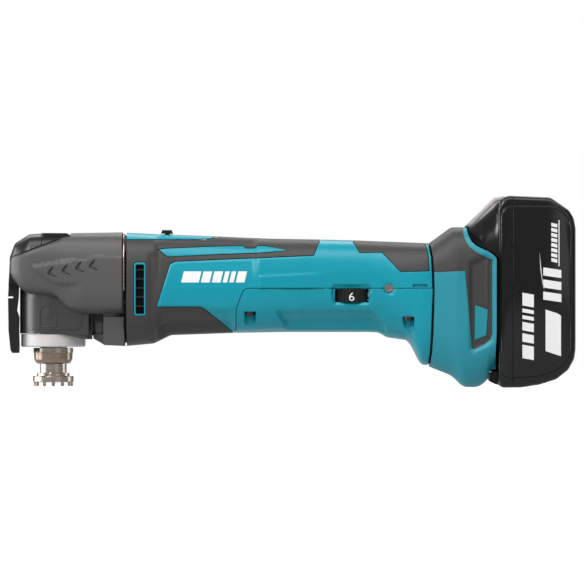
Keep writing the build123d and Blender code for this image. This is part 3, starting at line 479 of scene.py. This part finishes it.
def scoop(x, z):
    """Lower flank of the front grip, which leans in below the finger rest."""
    return -0.34 * np.clip(44.6 - z, 0, 18) * ramp(x, 61, 66) * (1 - ramp(x, 104, 112))


def waist(x, z):
    """Shallow hollow round the grip behind the vents."""
    return -1.1 * ramp(x, 56.4, 59.6) * (1 - ramp(x, 59.6, 65.5)) * (1 - ramp(z, 74, 79))


def panel_lip(x, z):
    """Hard panel, which stands proud of the soft grip in front."""
    return 0.5 * ramp(inside_distance(x, z, PANEL), -0.2, 1.0) * (1 - ramp(x, 146, 154))


def dial_frame(x, z):
    """Sunk frame round the dial's window."""
    return -1.7 * ramp(inside_distance(x, z, DIAL_FRAME), 0.0, 1.7)


def screw_cup(x, z):
    """Round seat of the side screw."""
    return -1.6 * (1 - ramp(np.hypot(x - SIDE_SCREW_X, z - 55.8), 2.0, 3.9))


def body_relief(x, y, z):
    """Sculpting of the motor housing: how far each point of the flanks moves outwards."""
    soft_edge = ramp(y, 12, 20)
    outer = y > 15
    sculpted = facet(x, z) + wedge(x, z) + undercut(x, z) + scoop(x, z) + waist(x, z) + panel_lip(x, z)
    return soft_edge * sculpted + dial_frame(x, z) * outer + screw_cup(x, z) * outer


def region(shell, name, outline, gap=SEAM):
    """The part of a shell inside a side outline, less the seam around it."""
    return combine(copy_of(shell, name), prism("cutter", inset(outline, gap)), "INTERSECT")


def pocket(outline, floor, near=8.0):
    """Cutter for a pocket in both flanks, down to the given floor form (which it uses up)."""
    both = combine(prism("left", outline, -FAR, -near), prism("right", outline, near, FAR), "UNION")
    return combine(both, floor, "DIFFERENCE")


def body_form(name, inset_by, step=4.0):
    """Solid form of the motor housing, drawn in by inset_by."""
    xs = np.concatenate([[40.0], np.arange(44, 228, step), [234.0]])
    return lofted(name, pushed(grid_of(BODY, xs, 110, inset_by), body_relief))


def cylinder(name, centre, radius, length, axis="Z", segments=48):
    """Closed cylinder along an axis, round its centre."""
    work = bmesh.new()
    bmesh.ops.create_cone(work, cap_ends=True, segments=segments, radius1=radius * MM, radius2=radius * MM,
                          depth=length * MM)
    mesh = bpy.data.meshes.new(name)
    work.to_mesh(mesh)
    work.free()
    obj = bpy.data.objects.new(name, mesh)
    bpy.context.scene.collection.objects.link(obj)
    obj.rotation_euler = {"Z": (0, 0, 0), "Y": (math.pi / 2, 0, 0), "X": (0, math.pi / 2, 0)}[axis]
    obj.location = Vector(centre) * MM
    bpy.context.view_layer.update()
    mesh.transform(obj.matrix_world)
    obj.matrix_world.identity()
    obj.rotation_euler, obj.location = (0, 0, 0), (0, 0, 0)
    return obj


def box(name, x0, x1, y0, y1, z0, z1):
    """Upright block between those limits."""
    return prism(name, [(x0, z0), (x1, z0), (x1, z1), (x0, z1)], y0, y1)


def both_sides(name, x0, x1, y0, y1, z0, z1):
    """The same block on both sides of the middle plane."""
    return combine(box(name, x0, x1, y0, y1, z0, z1), box("twin", x0, x1, -y1, -y0, z0, z1), "UNION")


def screw_wells(shell):
    """Adds the walls of the screw wells to the shell and opens the wells."""
    radius, depth = 3.4, 30
    for x, y, top in SCREW_WELLS:
        wall = both_sides("wall", x - 5, x + 5, y - 5.5, y + 6, 20, top + 2)
        combine(wall, body_form("inner", SKIN), "INTERSECT")
        combine(shell, wall, "UNION")
        for side in (-1, 1):
            combine(shell, cylinder("well", (x, side * y, top - depth / 2), radius, depth), "DIFFERENCE")
        combine(shell, both_sides("mouth", x - radius, x + radius, y, FAR, top - depth, top), "DIFFERENCE")


def body_shell():
    """Hollow shell of the whole motor housing, with every opening in it."""
    xs = np.concatenate([np.arange(44.3, 228.4, 0.65), [228.4]])
    shell = lofted("body", pushed(grid_of(BODY, xs, 270), body_relief))
    combine(shell, body_form("core", SHELL), "DIFFERENCE")
    combine(shell, prism("window", rounded(DIAL_WINDOW, 0.6), -FAR, -10), "DIFFERENCE")
    combine(shell, pocket(SIDE_SLOT, body_form("core", 1.2)), "DIFFERENCE")
    combine(shell, cylinder("screw_hole", (SIDE_SCREW_X, 0, 56.2), 1.9, 90, "Y"), "DIFFERENCE")
    return shell


def lining():
    """Near-black inner wall of painted shade that closes the seams from inside, so that they show dark."""
    inner = combine(body_form("lining", SHELL + 0.05), body_form("core", SHELL + 0.6), "DIFFERENCE")
    combine(inner, box("span", 42.6, 230.2, -FAR, FAR, 0, 120), "INTERSECT")
    combine(inner, prism("window", DIAL_WINDOW, -FAR, -10), "DIFFERENCE")
    combine(inner, cylinder("dial_room", (DIAL_CENTRE[0], DIAL_CENTRE[1], 51.6), 13.2, 12), "DIFFERENCE")
    combine(inner, box("switch_way", 57.5, 73.0, -4, 4, 78, 95), "DIFFERENCE")
    for x, y, top in SCREW_WELLS:
        combine(inner, both_sides("mouth", x - 5.4, x + 5.4, y - 6, FAR, 10, top + 2.4), "DIFFERENCE")
    place(inner, PAINTED_SHADE, "housing", "black_plastic")


def seam_backing():
    """Near-black wall of painted shade close behind the seams of the belly and the top."""
    backing = combine(body_form("seam_backing", SKIN), body_form("core", SHELL), "DIFFERENCE")
    belly = box("belly", 100, 112, -FAR, FAR, 0, 34)
    combine(belly, box("back", 92, 190, -FAR, FAR, 80, 120), "UNION")
    combine(backing, belly, "INTERSECT")
    place(backing, PAINTED_SHADE, "housing", "black_plastic")


def louvres():
    """Slats of the two side vents."""
    slats = both_sides("vent_slats", 49.6, 55.2, 12, 40, 45.2, 46.2)
    for z in (50.6, 56.0, 61.4, 66.8):
        combine(slats, both_sides("slat", 49.6, 55.2, 12, 40, z, z + 1.0), "UNION")
    combine(slats, body_form("outer", 0.9), "INTERSECT")
    combine(slats, body_form("inner", SHELL), "DIFFERENCE")
    place(slats, BLACK, "housing", "black_plastic", "vent_grilles")


def motor_housing():
    """Upper and lower shells, grips, stripe and switch plate, all cut from one form."""
    shell = body_shell()
    frame_edge = rounded(VENT_FRAME, 1.6)
    upper = region(shell, "upper_shell", PANEL)
    combine(upper, prism("lower", inset(LOWER, -SEAM)), "DIFFERENCE")
    lower = region(shell, "lower_shell", LOWER)
    screw_wells(lower)
    stripe = region(shell, "stripe_inlay", STRIPE)
    vent = region(shell, "vent_frame", frame_edge)
    combine(vent, prism("slot", rounded(VENT, 0.9)), "DIFFERENCE")
    plate = region(shell, "top_plate", TOP_PLATE)
    combine(plate, box("switch_way", 58.0, 72.5, -3, 3, 70, 95), "DIFFERENCE")
    soft = combine(copy_of(shell, "soft"), prism("panel", inset(PANEL, -SEAM)), "DIFFERENCE")
    rear = combine(copy_of(soft, "rear_grip"), box("zone", 170, 224.9, -FAR, FAR, 60, 100), "INTERSECT")
    combine(soft, box("zone", 40, 166, -FAR, FAR, 0, 100), "INTERSECT")
    for outline in (TOP_PLATE, STRIPE, frame_edge):
        combine(soft, prism("cut", inset(outline, -SEAM)), "DIFFERENCE")
    soft.name = "front_grip"
    bpy.data.objects.remove(shell)
    place(upper, TEAL, "housing", "teal_plastic", "housing_upper")
    place(lower, TEAL, "housing", "teal_plastic", "housing_lower")
    place(plate, TEAL, "housing", "teal_plastic", "switch_plate")
    for piece in (stripe, vent):
        place(piece, TEAL, "housing", "teal_plastic")
    place(soft, GRIP, "housing", "grip_rubber", "grip_front")
    place(rear, GRIP, "housing", "grip_rubber", "grip_rear")
    lining()
    seam_backing()
    louvres()


# ------------------------------------------------------------------ gear head


GEAR_HALF = 20.25  # half width of the gear housing with a little air
FLANGE_R = 26.2  # round flange between the gear housing and the motor housing
HEAD_NOSE_X = -12.4  # where the rounded front of the head ends
HEAD_NOSE_R = 13.5
CAP_END = -6.6  # rear edge of the lever's cap


def head_half(xs):
    """Half width of the head seen from above: a rounded front, then a slight widening."""
    ahead = np.clip(HEAD_NOSE_X - xs, 0, HEAD_NOSE_R)
    front = 12.2 + np.sqrt(np.clip(HEAD_NOSE_R**2 - ahead**2, 0, None))
    return np.where(xs < HEAD_NOSE_X, front, 25.7 + (xs - HEAD_NOSE_X) * 3.6 / 55.4)


def head_wedge(x, z):
    """Raised wedge on the flank, from 0 to 1: pointed in front, open towards the motor."""
    along = np.clip(x + 13, 0, 21)
    upper = 69.5 + 0.19 * (x + 13) - 0.0012 * (x + 13) ** 2
    lower = 69.5 - 1.1 * along + 0.026 * along**2
    above = np.maximum(ramp(z - lower, -0.4, 1.6), ramp(x, 6, 20))
    return np.minimum(ramp(upper - z, -0.3, 1.0), above) * ramp(x, -13, -9)


def head_relief(x, y, z):
    """Sculpting of the head cover: wedge, turned-in lower edge and the rim below the lever's cap."""
    edge = np.interp(x, *zip(*HEAD["bottom"]))
    turn_in = -0.5 * np.clip(edge + 6.0 - z, 0, 4) * ramp(x, -16, -4)
    below_seam = 0.357 * (x + 30) - 0.934 * (z - 73.1)
    rim = -0.8 * (1 - ramp(below_seam, 0.2, 2.2)) * (1 - ramp(x, 2, 8))
    return (1.6 * head_wedge(x, z) + turn_in + rim) * (y > 8)


def head_grid(inset_by=0.0, relief=True):
    """Grid of the head cover, close at the rounded front, with or without its sculpting."""
    xs = np.concatenate([-25.7 + 0.9 * np.linspace(0, 1, 6) ** 1.5, np.arange(-24.5, 41.4, 0.7), [41.6]])
    form = dict(HEAD, half=list(zip(xs, head_half(xs))))
    grid = grid_of(form, xs, 200, inset_by)
    return pushed(grid, head_relief) if relief else grid


def chevrons():
    """Side outlines of the four arrow-shaped grooves."""
    outlines = []
    for x, z, up in ((-2.9, 65.3, 4.0), (5.6, 66.6, 4.2), (13.8, 68.2, 4.4), (21.9, 69.4, 4.6)):
        arrow = [(x, z + 0.4), (x + 1.6, z + 2.6), (x + 4.2, z + up + 0.4), (x + 2.6, z + 1.6),
                 (x + 2.4, z + 0.3), (x + 3.4, z - 0.9), (x + 6.2, z - 2.6), (x + 2.6, z - 1.9),
                 (x + 0.6, z - 1.1)]
        outlines.append(rounded(arrow, 0.5, 3))
    return outlines


def head_cover():
    """Rubber cover of the gear head, with its grooves and the room for housing and lever."""
    cover = lofted("cover", head_grid())
    for outline in chevrons():
        combine(cover, pocket(outline, lofted("floor", head_grid(1.3))), "DIFFERENCE")
    combine(cover, prism("cap", inset(CAP_SEAM, -0.2)), "DIFFERENCE")
    combine(cover, cylinder("gear_room", (0, 0, 50), GEAR_HALF, 43.6, segments=96), "DIFFERENCE")
    combine(cover, box("drive_room", 0, 43, -GEAR_HALF, GEAR_HALF, 28, 71.9), "DIFFERENCE")
    combine(cover, cylinder("flange_room", (41, 0, 57), FLANGE_R, 8.4, "X", 96), "DIFFERENCE")
    combine(cover, cylinder("hub_room", (2, 0, 82), 10.2, 39.6, "Y", 96), "DIFFERENCE")
    combine(cover, box("strip_room", -40, -19.8, -16.3, 16.3, 40, 100), "DIFFERENCE")
    combine(cover, box("top_room", -30, 2, -16.3, 16.3, 71.9, 100), "DIFFERENCE")
    combine(cover, both_sides("ear_room", -4, 8, 11.7, 15.3, 70, 88), "DIFFERENCE")
    place(cover, BOOT, "housing", "cover_rubber", "head_cover")


def before_cap_end():
    """Cutter that keeps everything in front of the cap's rear edge."""
    return box("front", -40, CAP_END, -FAR, FAR, 60, 100)


def lever():
    """Clamping lever: the CAD lever with its cap cut from the head's form, and fixed cheeks behind it."""
    whole = combine(lofted("cap", head_grid(relief=False)), prism("seam", CAP_SEAM), "INTERSECT")
    cheeks = combine(copy_of(whole, "cover_cheeks"), box("rear", -6.3, 9.4, -FAR, FAR, 60, 100), "INTERSECT")
    combine(cheeks, box("middle", -10, 12, -19.9, 19.9, 60, 100), "DIFFERENCE")
    combine(cheeks, prism("seam", [(-30, 72.6), (12, 88.6), (12, 60), (-30, 60)]), "DIFFERENCE")
    combine(whole, before_cap_end(), "INTERSECT")
    arm = copy_of(frame["nodes"]["clamp_lever"], "lever_body")
    combine(arm, combine(prism("cap_zone", CAP_SEAM), before_cap_end(), "INTERSECT"), "DIFFERENCE")
    for low, high in ((11.5, 30), (-30, -11.5)):
        combine(arm, box("slimmer", -40, -18, low, high, 10, 58), "DIFFERENCE")
    place(arm, BLACK, "lever", "lever_metal", "clamp_lever")
    place(whole, LEVER, "lever", "lever_metal")
    place(cheeks, LEVER, "housing", "black_plastic")


def round_front(name, half, end, low, high):
    """Solid that follows the gear housing: round in front of the spindle and flat-sided behind it."""
    nose = cylinder(name, (0, 0, (low + high) / 2), half, high - low, segments=128)
    return combine(nose, box("flanks", 0, end, -half, half, low, high), "UNION")


def raised(name, outline, half, depth, opening=None):
    """Raised pad with a side outline on the gear housing, and an opening if it is a rim."""
    pad = combine(round_front(name, half, 36, 28, 52), prism("outline", outline), "INTERSECT")
    combine(pad, round_front("core", half - depth, 40, 20, 60), "DIFFERENCE")
    if opening:
        combine(pad, prism("opening", opening), "DIFFERENCE")
    place(pad, ENAMEL, "housing", "black_casting")


def arc(centre, radius, angles):
    """Points of a circle in side view at the given angles."""
    return [(centre[0] + radius * math.cos(a), centre[1] + radius * math.sin(a)) for a in angles]


def gear_casting():
    """Gear housing with a recess beside the lamp nose, a raised plate and a plain arch on each flank."""
    casting = copy_of(frame["nodes"]["gear_housing"], "gear_casting")
    combine(casting, both_sides("gap", 21.6, 23.8, 9.0, 30, 20, 41), "DIFFERENCE")
    combine(casting, both_sides("recess", 23.7, 30.45, 10.8, 30, 20, 41), "DIFFERENCE")
    place(casting, ENAMEL, "housing", "black_casting", "gear_housing")
    plate = [(-15.4, 31.6), (14.6, 31.6), (17.4, 34.0), (17.4, 50), (-15.4, 50)]
    raised("gear_plate", rounded(plate, 1.2), 20.5, 0.6)
    arch = [(2.2, 33.0), *arc((-3.1, 41.6), 5.3, np.linspace(0, math.pi, 13)), (-8.4, 33.0)]
    raised("gear_arch", arch, 20.9, 0.5, inset(arch, 0.8))
    raised("gear_boss", arc((-3.1, 41.4), 2.9, np.arange(0, 6.2, 0.3)), 20.9, 0.5)


def nose_block():
    """Near-black block of painted shade behind the gap between gear housing and lamp nose."""
    place(box("nose_block", 19, 31, -8.5, 8.5, 28, 39), PAINTED_SHADE, "housing", "black_plastic")


def neck_bead():
    """Bright rounded rim above the middle of the gap between head cover and motor housing, built only on its
    upper part: a painted highlight, with the lining's painted shade left below.
    """
    rings = []
    for turn in np.linspace(0, math.pi, 9):
        ring = grid_of(BODY, np.array([44.0]), 240, 1.5 - 0.9 * math.sin(turn))
        ring[..., 0] = 42.6 - 0.8 * math.cos(turn)
        rings.append(ring[0])
    bead = lofted("neck_bead", np.array(rings))
    combine(bead, cylinder("flange", (42, 0, 57), FLANGE_R, 6, "X", 96), "DIFFERENCE")
    # Painted highlight: only the part above z 55 is kept, so the bright metal shows where light falls and the
    # gap below stays dark.
    combine(bead, box("upper", 40, 46, -FAR, FAR, 55, 95), "INTERSECT")
    place(bead, STEEL, "housing", "bare_aluminium")


# ------------------------------------------------------------------ battery mount


def mount_relief(x, y, z):
    """Sculpting of the mount's flanks: the sunk badge field and the ridge along the rear rim."""
    sunk = -2.3 * ramp(inside_distance(x, z, MOUNT_FIELD), -3.4, 0.2)
    ridge = 0.6 * (1 - ramp(np.abs(x - 259.8), 0.2, 1.1)) * ramp(z, 44, 47) * (1 - ramp(z, 72, 75))
    return (sunk + ridge) * (y > 18)


def mount_floor(inset_by):
    """Form inside the mount, longer than it, that pockets in its flanks are cut down to."""
    xs = np.concatenate([[219.0], np.arange(222, 267, 1.5), [269.0]])
    return lofted("floor", pushed(grid_of(MOUNT, xs, 160, inset_by), mount_relief))


def mount_shell():
    """Hollow mount with the battery's channel."""
    shell = lofted("mount", pushed(grid_of(MOUNT, np.arange(222.5, 266.1, 0.6), 240), mount_relief))
    core_xs = np.array([220.0, 226, 230.5, 235, 240, 244, 247.2])
    combine(shell, lofted("core", grid_of(MOUNT, core_xs, 96, 3.2)), "DIFFERENCE")
    combine(shell, box("channel", 250.2, 280, -27.3, 27.3, 6, 120), "DIFFERENCE")
    combine(shell, box("latch_way", 246, 252, -9, 9, 74, 120), "DIFFERENCE")
    combine(shell, box("terminal_way", 246, 252, -18, 18, 10, 40), "DIFFERENCE")
    combine(shell, prism("side", MOUNT_SIDE), "INTERSECT")
    combine(shell, prism("front", [*MOUNT_EDGE, (215, 0), (215, 100)]), "DIFFERENCE")
    return shell


def mount():
    """Hard mount, soft frame and badge, cut from one form."""
    shell = mount_shell()
    badge_edge = rounded(BADGE, 0.6)
    badge = combine(copy_of(shell, "mount_badge"), prism("edge", inset(badge_edge, 0.1)), "INTERSECT")
    combine(badge, mount_floor(1.9), "DIFFERENCE")
    dark = combine(copy_of(shell, "mount_frame"), prism("dark", inset(MOUNT_DARK, 0.06)), "INTERSECT")
    combine(dark, mount_floor(1.9), "DIFFERENCE")
    combine(dark, prism("badge", inset(badge_edge, -0.1)), "DIFFERENCE")
    combine(shell, combine(prism("dark", MOUNT_DARK), mount_floor(2.0), "DIFFERENCE"), "DIFFERENCE")
    combine(shell, both_sides("rail", 259.5, 264.9, 22.3, 27.6, 8, 72), "UNION")
    place(shell, TEAL_MATT, "housing", "teal_plastic", "mount_housing")
    place(dark, GRIP, "housing", "grip_rubber", "mount_grip")
    place(badge, TEAL_MATT, "housing", "teal_plastic")


def mount_collar():
    """Near-black collar of painted shade behind the gap between motor housing and mount."""
    outer = lofted("mount_collar", grid_of(MOUNT, np.array([222.6, 226, 231, 236]), 160, 1.3))
    core = lofted("core", grid_of(MOUNT, np.array([219.0, 226, 231, 240]), 96, 3.0))
    collar = combine(outer, core, "DIFFERENCE")
    front_edge = [(x - 2.2, z) for x, z in MOUNT_EDGE]
    rear_edge = [(x + 1.2, z) for x, z in MOUNT_EDGE]
    combine(collar, prism("front", [*front_edge, (215, 0), (215, 100)]), "DIFFERENCE")
    combine(collar, prism("rear", [*rear_edge, (250, 0), (250, 100)]), "DIFFERENCE")
    place(collar, PAINTED_SHADE, "housing", "black_plastic")


# ------------------------------------------------------------------ battery

BATTERY_EDGE = [(266.2, 2.0), (266.6, -1.2), (268.6, -3.05), (280.0, -2.9), (291.0, -1.2), (301.0, 2.0),
                (308.0, 7.5), (311.6, 14.0), (312.45, 20.0), (312.45, 92.0), (311.4, 98.0), (308.4, 103.0),
                (297.5, 110.6), (272.6, 111.65), (268.0, 110.2), (266.2, 104.0)]
BATTERY_PANEL = [(267.8, 4.4), (272, 2.6), (290, 3.6), (300, 6.8), (306, 11.5), (309.6, 18), (309.8, 92),
                 (308.6, 97.5), (305.4, 101.6), (298.4, 105.4), (273.5, 105.6), (268.6, 103.4), (267.8, 98)]
BATTERY_LIP = [(261.0, 1.3), (262.3, 0.1), (265, -1.1), (268, -1.4), (268, 10), (263.7, 10), (263.3, 8.2),
               (262.95, 6.2), (262.4, 4.4)]
BUTTON_WAY = [(247.6, 94.3), (265.0, 110.4), (275.4, 110.4), (259.6, 95.8), (259.6, 92.2), (249.4, 92.2)]
BUTTON_TOP = [(246.6, 93.3), (248.0, 93.5), (264.9, 109.2), (271.6, 110.3), (271.0, 110.9), (264.6, 110.9)]
# Flank rows are (distance from the middle plane, share). The outline is BATTERY_EDGE at share 0 and
# BATTERY_PANEL at share 1, and it shrinks further above 1.
FLANK_ROWS = [(0, 0), (31.6, 0), (33.2, 0.06), (34.4, 0.17), (35.1, 0.32), (35.5, 0.6), (35.8, 0.97),
              (35.8, 1.02), (36.6, 1.08), (37.2, 1.22), (37.48, 1.5)]
PANEL_ROUNDING = 2.2  # how much it shrinks for each unit above 1
BATTERY_SPLIT = (274.86, 275.12)  # X of the two shells' facing edges
WAY_HALF = 17.3  # half width of the release button's recess


def resampled(points, count):
    """The closed outline as count evenly spaced points."""
    p = np.array(points + points[:1], float)
    along = np.concatenate([[0], np.cumsum(np.hypot(*np.diff(p, axis=0).T))])
    at = np.linspace(0, along[-1], count + 1)[:-1]
    return np.stack([np.interp(at, along, p[:, 0]), np.interp(at, along, p[:, 1])], 1)


def battery_body():
    """Rounded battery case with a raised panel on each flank."""
    outer = resampled(rounded(BATTERY_EDGE, 5.0, 8), 260)
    panel = resampled(rounded(BATTERY_PANEL, 5.0, 8), 260)
    start = np.argmin(np.hypot(*(panel - outer[0]).T))
    panel = np.roll(panel, -start, axis=0)
    middle = panel.mean(axis=0)
    stack = []
    for side in (-1, 1):
        for y, share in FLANK_ROWS[::-1] if side < 0 else FLANK_ROWS[1:]:
            edge = outer + min(share, 1) * (panel - outer)
            inwards = middle - edge
            shrink = max(0, share - 1) * PANEL_ROUNDING
            edge = edge + shrink * inwards / np.linalg.norm(inwards, axis=1)[:, None]
            stack.append(np.stack([edge[:, 0], np.full(len(edge), side * y), edge[:, 1]], 1))
    return lofted("battery_case", np.array(stack))


def battery_hood():
    """Hood over the rail block, with the release button's recess."""
    hood = lofted("battery_hood", grid_of(HOOD, np.arange(246.4, 272.1, 0.8), 200))
    combine(hood, prism("side", HOOD_SIDE), "INTERSECT")
    combine(hood, prism("button_way", BUTTON_WAY, -WAY_HALF, WAY_HALF), "DIFFERENCE")
    combine(hood, box("latch_room", 240, 262.2, -9, 9, 60, 92.4), "DIFFERENCE")
    return hood


def battery():
    """Battery: two glossy shells, the rail block, the hood and the lip at the foot."""
    front_end, rear_start = BATTERY_SPLIT
    case = battery_body()
    rear = box("rear", rear_start, 330, -FAR, FAR, -20, 130)
    tub = combine(copy_of(case, "battery_tub"), rear, "INTERSECT")
    combine(tub, cylinder("gauge_way", (291.0, 0, 0.5), 5.0, 7.0), "DIFFERENCE")
    combine(case, box("front", 250, front_end, -FAR, FAR, -20, 130), "INTERSECT")
    combine(case, prism("button_way", BUTTON_WAY, -WAY_HALF, WAY_HALF), "DIFFERENCE")
    rail = copy_of(frame["nodes"]["battery_top"], "battery_rail")
    combine(rail, box("zone", 240, 268, -27.2, 27.2, 6, 82), "INTERSECT")
    hood = battery_hood()
    lip = prism("battery_lip", BATTERY_LIP, -21.9, 21.9)
    place(case, CASE, "battery", "battery_plastic", "battery_top")
    place(tub, CASE, "battery", "battery_plastic", "battery_bottom")
    for piece in (rail, hood, lip):
        place(piece, CASE, "battery", "battery_plastic")


def button():
    """Grey release button along the slope of the hood."""
    grey = copy_of(frame["nodes"]["battery_button"], "release_button")
    combine(grey, prism("plate", BUTTON_TOP, -16.6, 16.6), "UNION")
    place(grey, BUTTON, "latch", "button_plastic", "battery_button")


# ------------------------------------------------------------------ printed marks

BATTERY_BARS = [(48.0, 52.8), (55.2, 60.0), (62.4, 67.2)]  # low and high end of each bar
BATTERY_FINE_BARS = [(71.5 + 3.0 * i, 73.6 + 3.0 * i) for i in range(8)]
BATTERY_NAME_BARS = [(13.5, 21.5), (23.3, 28.3), (30.1, 35.1), (36.9, 39.1), (40.9, 43.1), (44.9, 52.5)]
PRINT_LAYER = (37.3, 37.58)  # distances of the battery's print from the middle plane
BODY_BAR_WIDTHS = (10.5, 5.2, 5.2, 2.6, 2.6, 5.2)
BODY_BAR_GAP = 1.3


def bars(left, right, rows, lean):
    """Outlines of upright bars between left and right: (low, high) pairs, leaning by lean."""
    return [[(left, low + lean), (right, low), (right, high), (left, high + lean)] for low, high in rows]


def on_both_flanks(shapes, near, far):
    """Prisms of the side outlines between two distances from the middle plane, on both flanks."""
    layers = ((-far, -near), (near, far))
    return [prism("mark", shape, low, high) for shape in shapes for low, high in layers]


def battery_marks():
    """Plain printed blocks where the battery carries its lettering."""
    shapes = [[(294.4, 18.9), (303.6, 15.8), (303.6, 40.0), (301.4, 41.4), (294.4, 43.6)],
              [(290.8, 78.2), (291.3, 68), (292.4, 60), (293.8, 54.5), (292.4, 62)]]
    shapes += bars(293.0, 303.8, BATTERY_BARS, 1.6)
    shapes += bars(297.8, 301.4, BATTERY_FINE_BARS, 0.8)
    shapes += [[(302.1, 69.5), (302.7, 69.5), (302.7, 97.0), (302.1, 97.0)]]
    shapes += bars(280.6, 287.4, BATTERY_NAME_BARS, 1.2)
    place(joined("battery_print", on_both_flanks(shapes, *PRINT_LAYER)), PRINT, "battery", "button_plastic")


def joined(name, pieces):
    """One object made of separate pieces."""
    work = bmesh.new()
    for piece in pieces:
        work.from_mesh(piece.data)
        bpy.data.objects.remove(piece)
    mesh = bpy.data.meshes.new(name)
    work.to_mesh(mesh)
    work.free()
    obj = bpy.data.objects.new(name, mesh)
    bpy.context.scene.collection.objects.link(obj)
    return obj


def body_marks():
    """Plain printed bars on the housing's flanks."""
    low, high, lean = 59.8, 66.4, 1.6
    shapes = []
    x = 77.0
    for width in BODY_BAR_WIDTHS:
        shapes.append([(x, low), (x + width, low), (x + width + lean, high), (x + lean, high)])
        x += width + BODY_BAR_GAP
    outer = body_form("outer", -0.06, 1.0)
    inner = body_form("inner", 0.25, 1.0)
    prisms = joined("body_print", on_both_flanks(shapes, 15, FAR))
    combine(combine(prisms, outer, "INTERSECT"), inner, "DIFFERENCE")
    place(prisms, PRINT, "housing", "button_plastic")


def number_mesh(number):
    """Flat mesh of a number, a little thick, centred on the origin."""
    curve = bpy.data.curves.new("number", "FONT")
    curve.body = str(number)
    curve.size = 7.2 * MM
    curve.extrude = 0.25 * MM
    curve.align_x, curve.align_y = "CENTER", "CENTER"
    text = bpy.data.objects.new("number", curve)
    bpy.context.scene.collection.objects.link(text)
    bpy.context.view_layer.update()
    mesh = bpy.data.meshes.new_from_object(text)
    bpy.data.objects.remove(text)
    return mesh


def dial_numbers():
    """Raised numbers round the speed dial; the 6 faces out at rest."""
    centre_x, centre_y, centre_z = [value * MM for value in DIAL_CENTRE]
    pieces = []
    for number in range(1, 7):
        mesh = number_mesh(number)
        for vertex in mesh.vertices:
            x, y, z = vertex.co
            turn = x / (12.0 * MM) + math.radians(60 * (6 - number))
            radius = DIAL_RADIUS * MM + z
            vertex.co = (centre_x + radius * math.sin(turn), centre_y - radius * math.cos(turn), centre_z + y)
        piece = bpy.data.objects.new("number", mesh)
        bpy.context.scene.collection.objects.link(piece)
        pieces.append(piece)
    place(joined("dial_numbers", pieces), PRINT, "dial", "button_plastic")


# ------------------------------------------------------------------ stage

IMAGE_WIDTH = 350.4  # width of the view at the tool
LOOK_AT = (143.2, 0.0, 54.1)
DISTANCE = 6000.0
SENSOR = 36.0
AMBIENT = 0.26  # strength of the white world as light
FLOOR_GLOW = 0.02
FLOOR_DROP = 60  # room below the tool for the bolt when it is pulled out
FLOOR_HALF = 9000
MIDDLE, HEAD_END, BATTERY_END = (130, 0, 50), (0, 0, 50), (300, 0, 50)  # what the lights look at
LIGHTS = [  # name, location, width and height, power, target
    ("top", (150, -500, 1200), (1600, 700), 13, MIDDLE),
    ("key", (-700, -1300, 1000), (600, 600), 15, MIDDLE),
    ("left edge", (-1100, 500, 250), (500, 900), 7, HEAD_END),
    ("left", (-1300, -120, 160), (450, 900), 9, HEAD_END),
    ("right edge", (1500, 420, 160), (300, 900), 5, BATTERY_END),
    ("fill", (900, -1500, 500), (700, 900), 2, MIDDLE),
    ("back", (200, 900, 800), (1400, 400), 5, MIDDLE),
]


def area_light(name, location, size, power, look_at):
    """White area light, staged, that looks at a point."""
    data = bpy.data.lights.new(name, "AREA")
    data.shape = "RECTANGLE"
    data.size, data.size_y = size[0] * MM, size[1] * MM
    data.energy = power
    lamp = bpy.data.objects.new(name, data)
    bpy.context.scene.collection.objects.link(lamp)
    lamp.location = Vector(location) * MM
    lamp.rotation_euler = (Vector(look_at) * MM - lamp.location).to_track_quat("-Z", "Y").to_euler()


def white_to_camera(tree, socket, strength):
    """Gives a strength socket 1 where the camera looks at it directly, and strength for all other light."""
    seen = tree.nodes.new("ShaderNodeLightPath")
    glow = tree.nodes.new("ShaderNodeMapRange")
    glow.inputs["To Min"].default_value = strength
    glow.inputs["To Max"].default_value = 1.0
    tree.links.new(seen.outputs["Is Camera Ray"], glow.inputs["Value"])
    tree.links.new(glow.outputs["Result"], socket)


def floor():
    """Plain pale floor some way below the tool."""
    low = cad_low.z / MM - FLOOR_DROP
    corners = [(x * FLOOR_HALF, y * FLOOR_HALF, low) for x, y in ((-1, -1), (1, -1), (1, 1), (-1, 1))]
    ground = mesh_object("floor", corners, [[0, 1, 2, 3]])
    pale = bpy.data.materials.new("pale floor")
    pale.use_nodes = True
    shader = pale.node_tree.nodes["Principled BSDF"]
    shader.inputs["Base Color"].default_value = (0.5, 0.5, 0.5, 1)
    shader.inputs["Roughness"].default_value = 0.9
    shader.inputs["Specular IOR Level"].default_value = 0.1
    shader.inputs["Emission Color"].default_value = (1, 1, 1, 1)
    white_to_camera(pale.node_tree, shader.inputs["Emission Strength"], FLOOR_GLOW)
    ground.data.materials.append(pale)


def world():
    """Even white surroundings."""
    around = bpy.data.worlds.new("studio")
    bpy.context.scene.world = around
    around.use_nodes = True
    sky = around.node_tree.nodes["Background"]
    sky.inputs["Color"].default_value = (1, 1, 1, 1)
    white_to_camera(around.node_tree, sky.inputs["Strength"], AMBIENT)


def camera():
    """Camera far in front of the tool, looking along +Y."""
    data = bpy.data.cameras.new("camera")
    data.sensor_width = SENSOR
    data.lens = SENSOR * DISTANCE / IMAGE_WIDTH
    data.clip_end = 100.0
    eye = bpy.data.objects.new("camera", data)
    bpy.context.scene.collection.objects.link(eye)
    eye.location = Vector((LOOK_AT[0], LOOK_AT[1] - DISTANCE, LOOK_AT[2])) * MM
    eye.rotation_euler = (math.pi / 2, 0, 0)
    bpy.context.scene.camera = eye


def studio():
    """Surroundings, soft lights, floor and camera."""
    world()
    for light in LIGHTS:
        area_light(*light)
    floor()
    camera()
    bpy.context.scene.view_settings.view_transform = "Standard"


paint_frame()
motor_housing()
body_marks()
head_cover()
lever()
gear_casting()
nose_block()
neck_bead()
mount()
mount_collar()
battery()
button()
battery_marks()
dial_numbers()
studio()
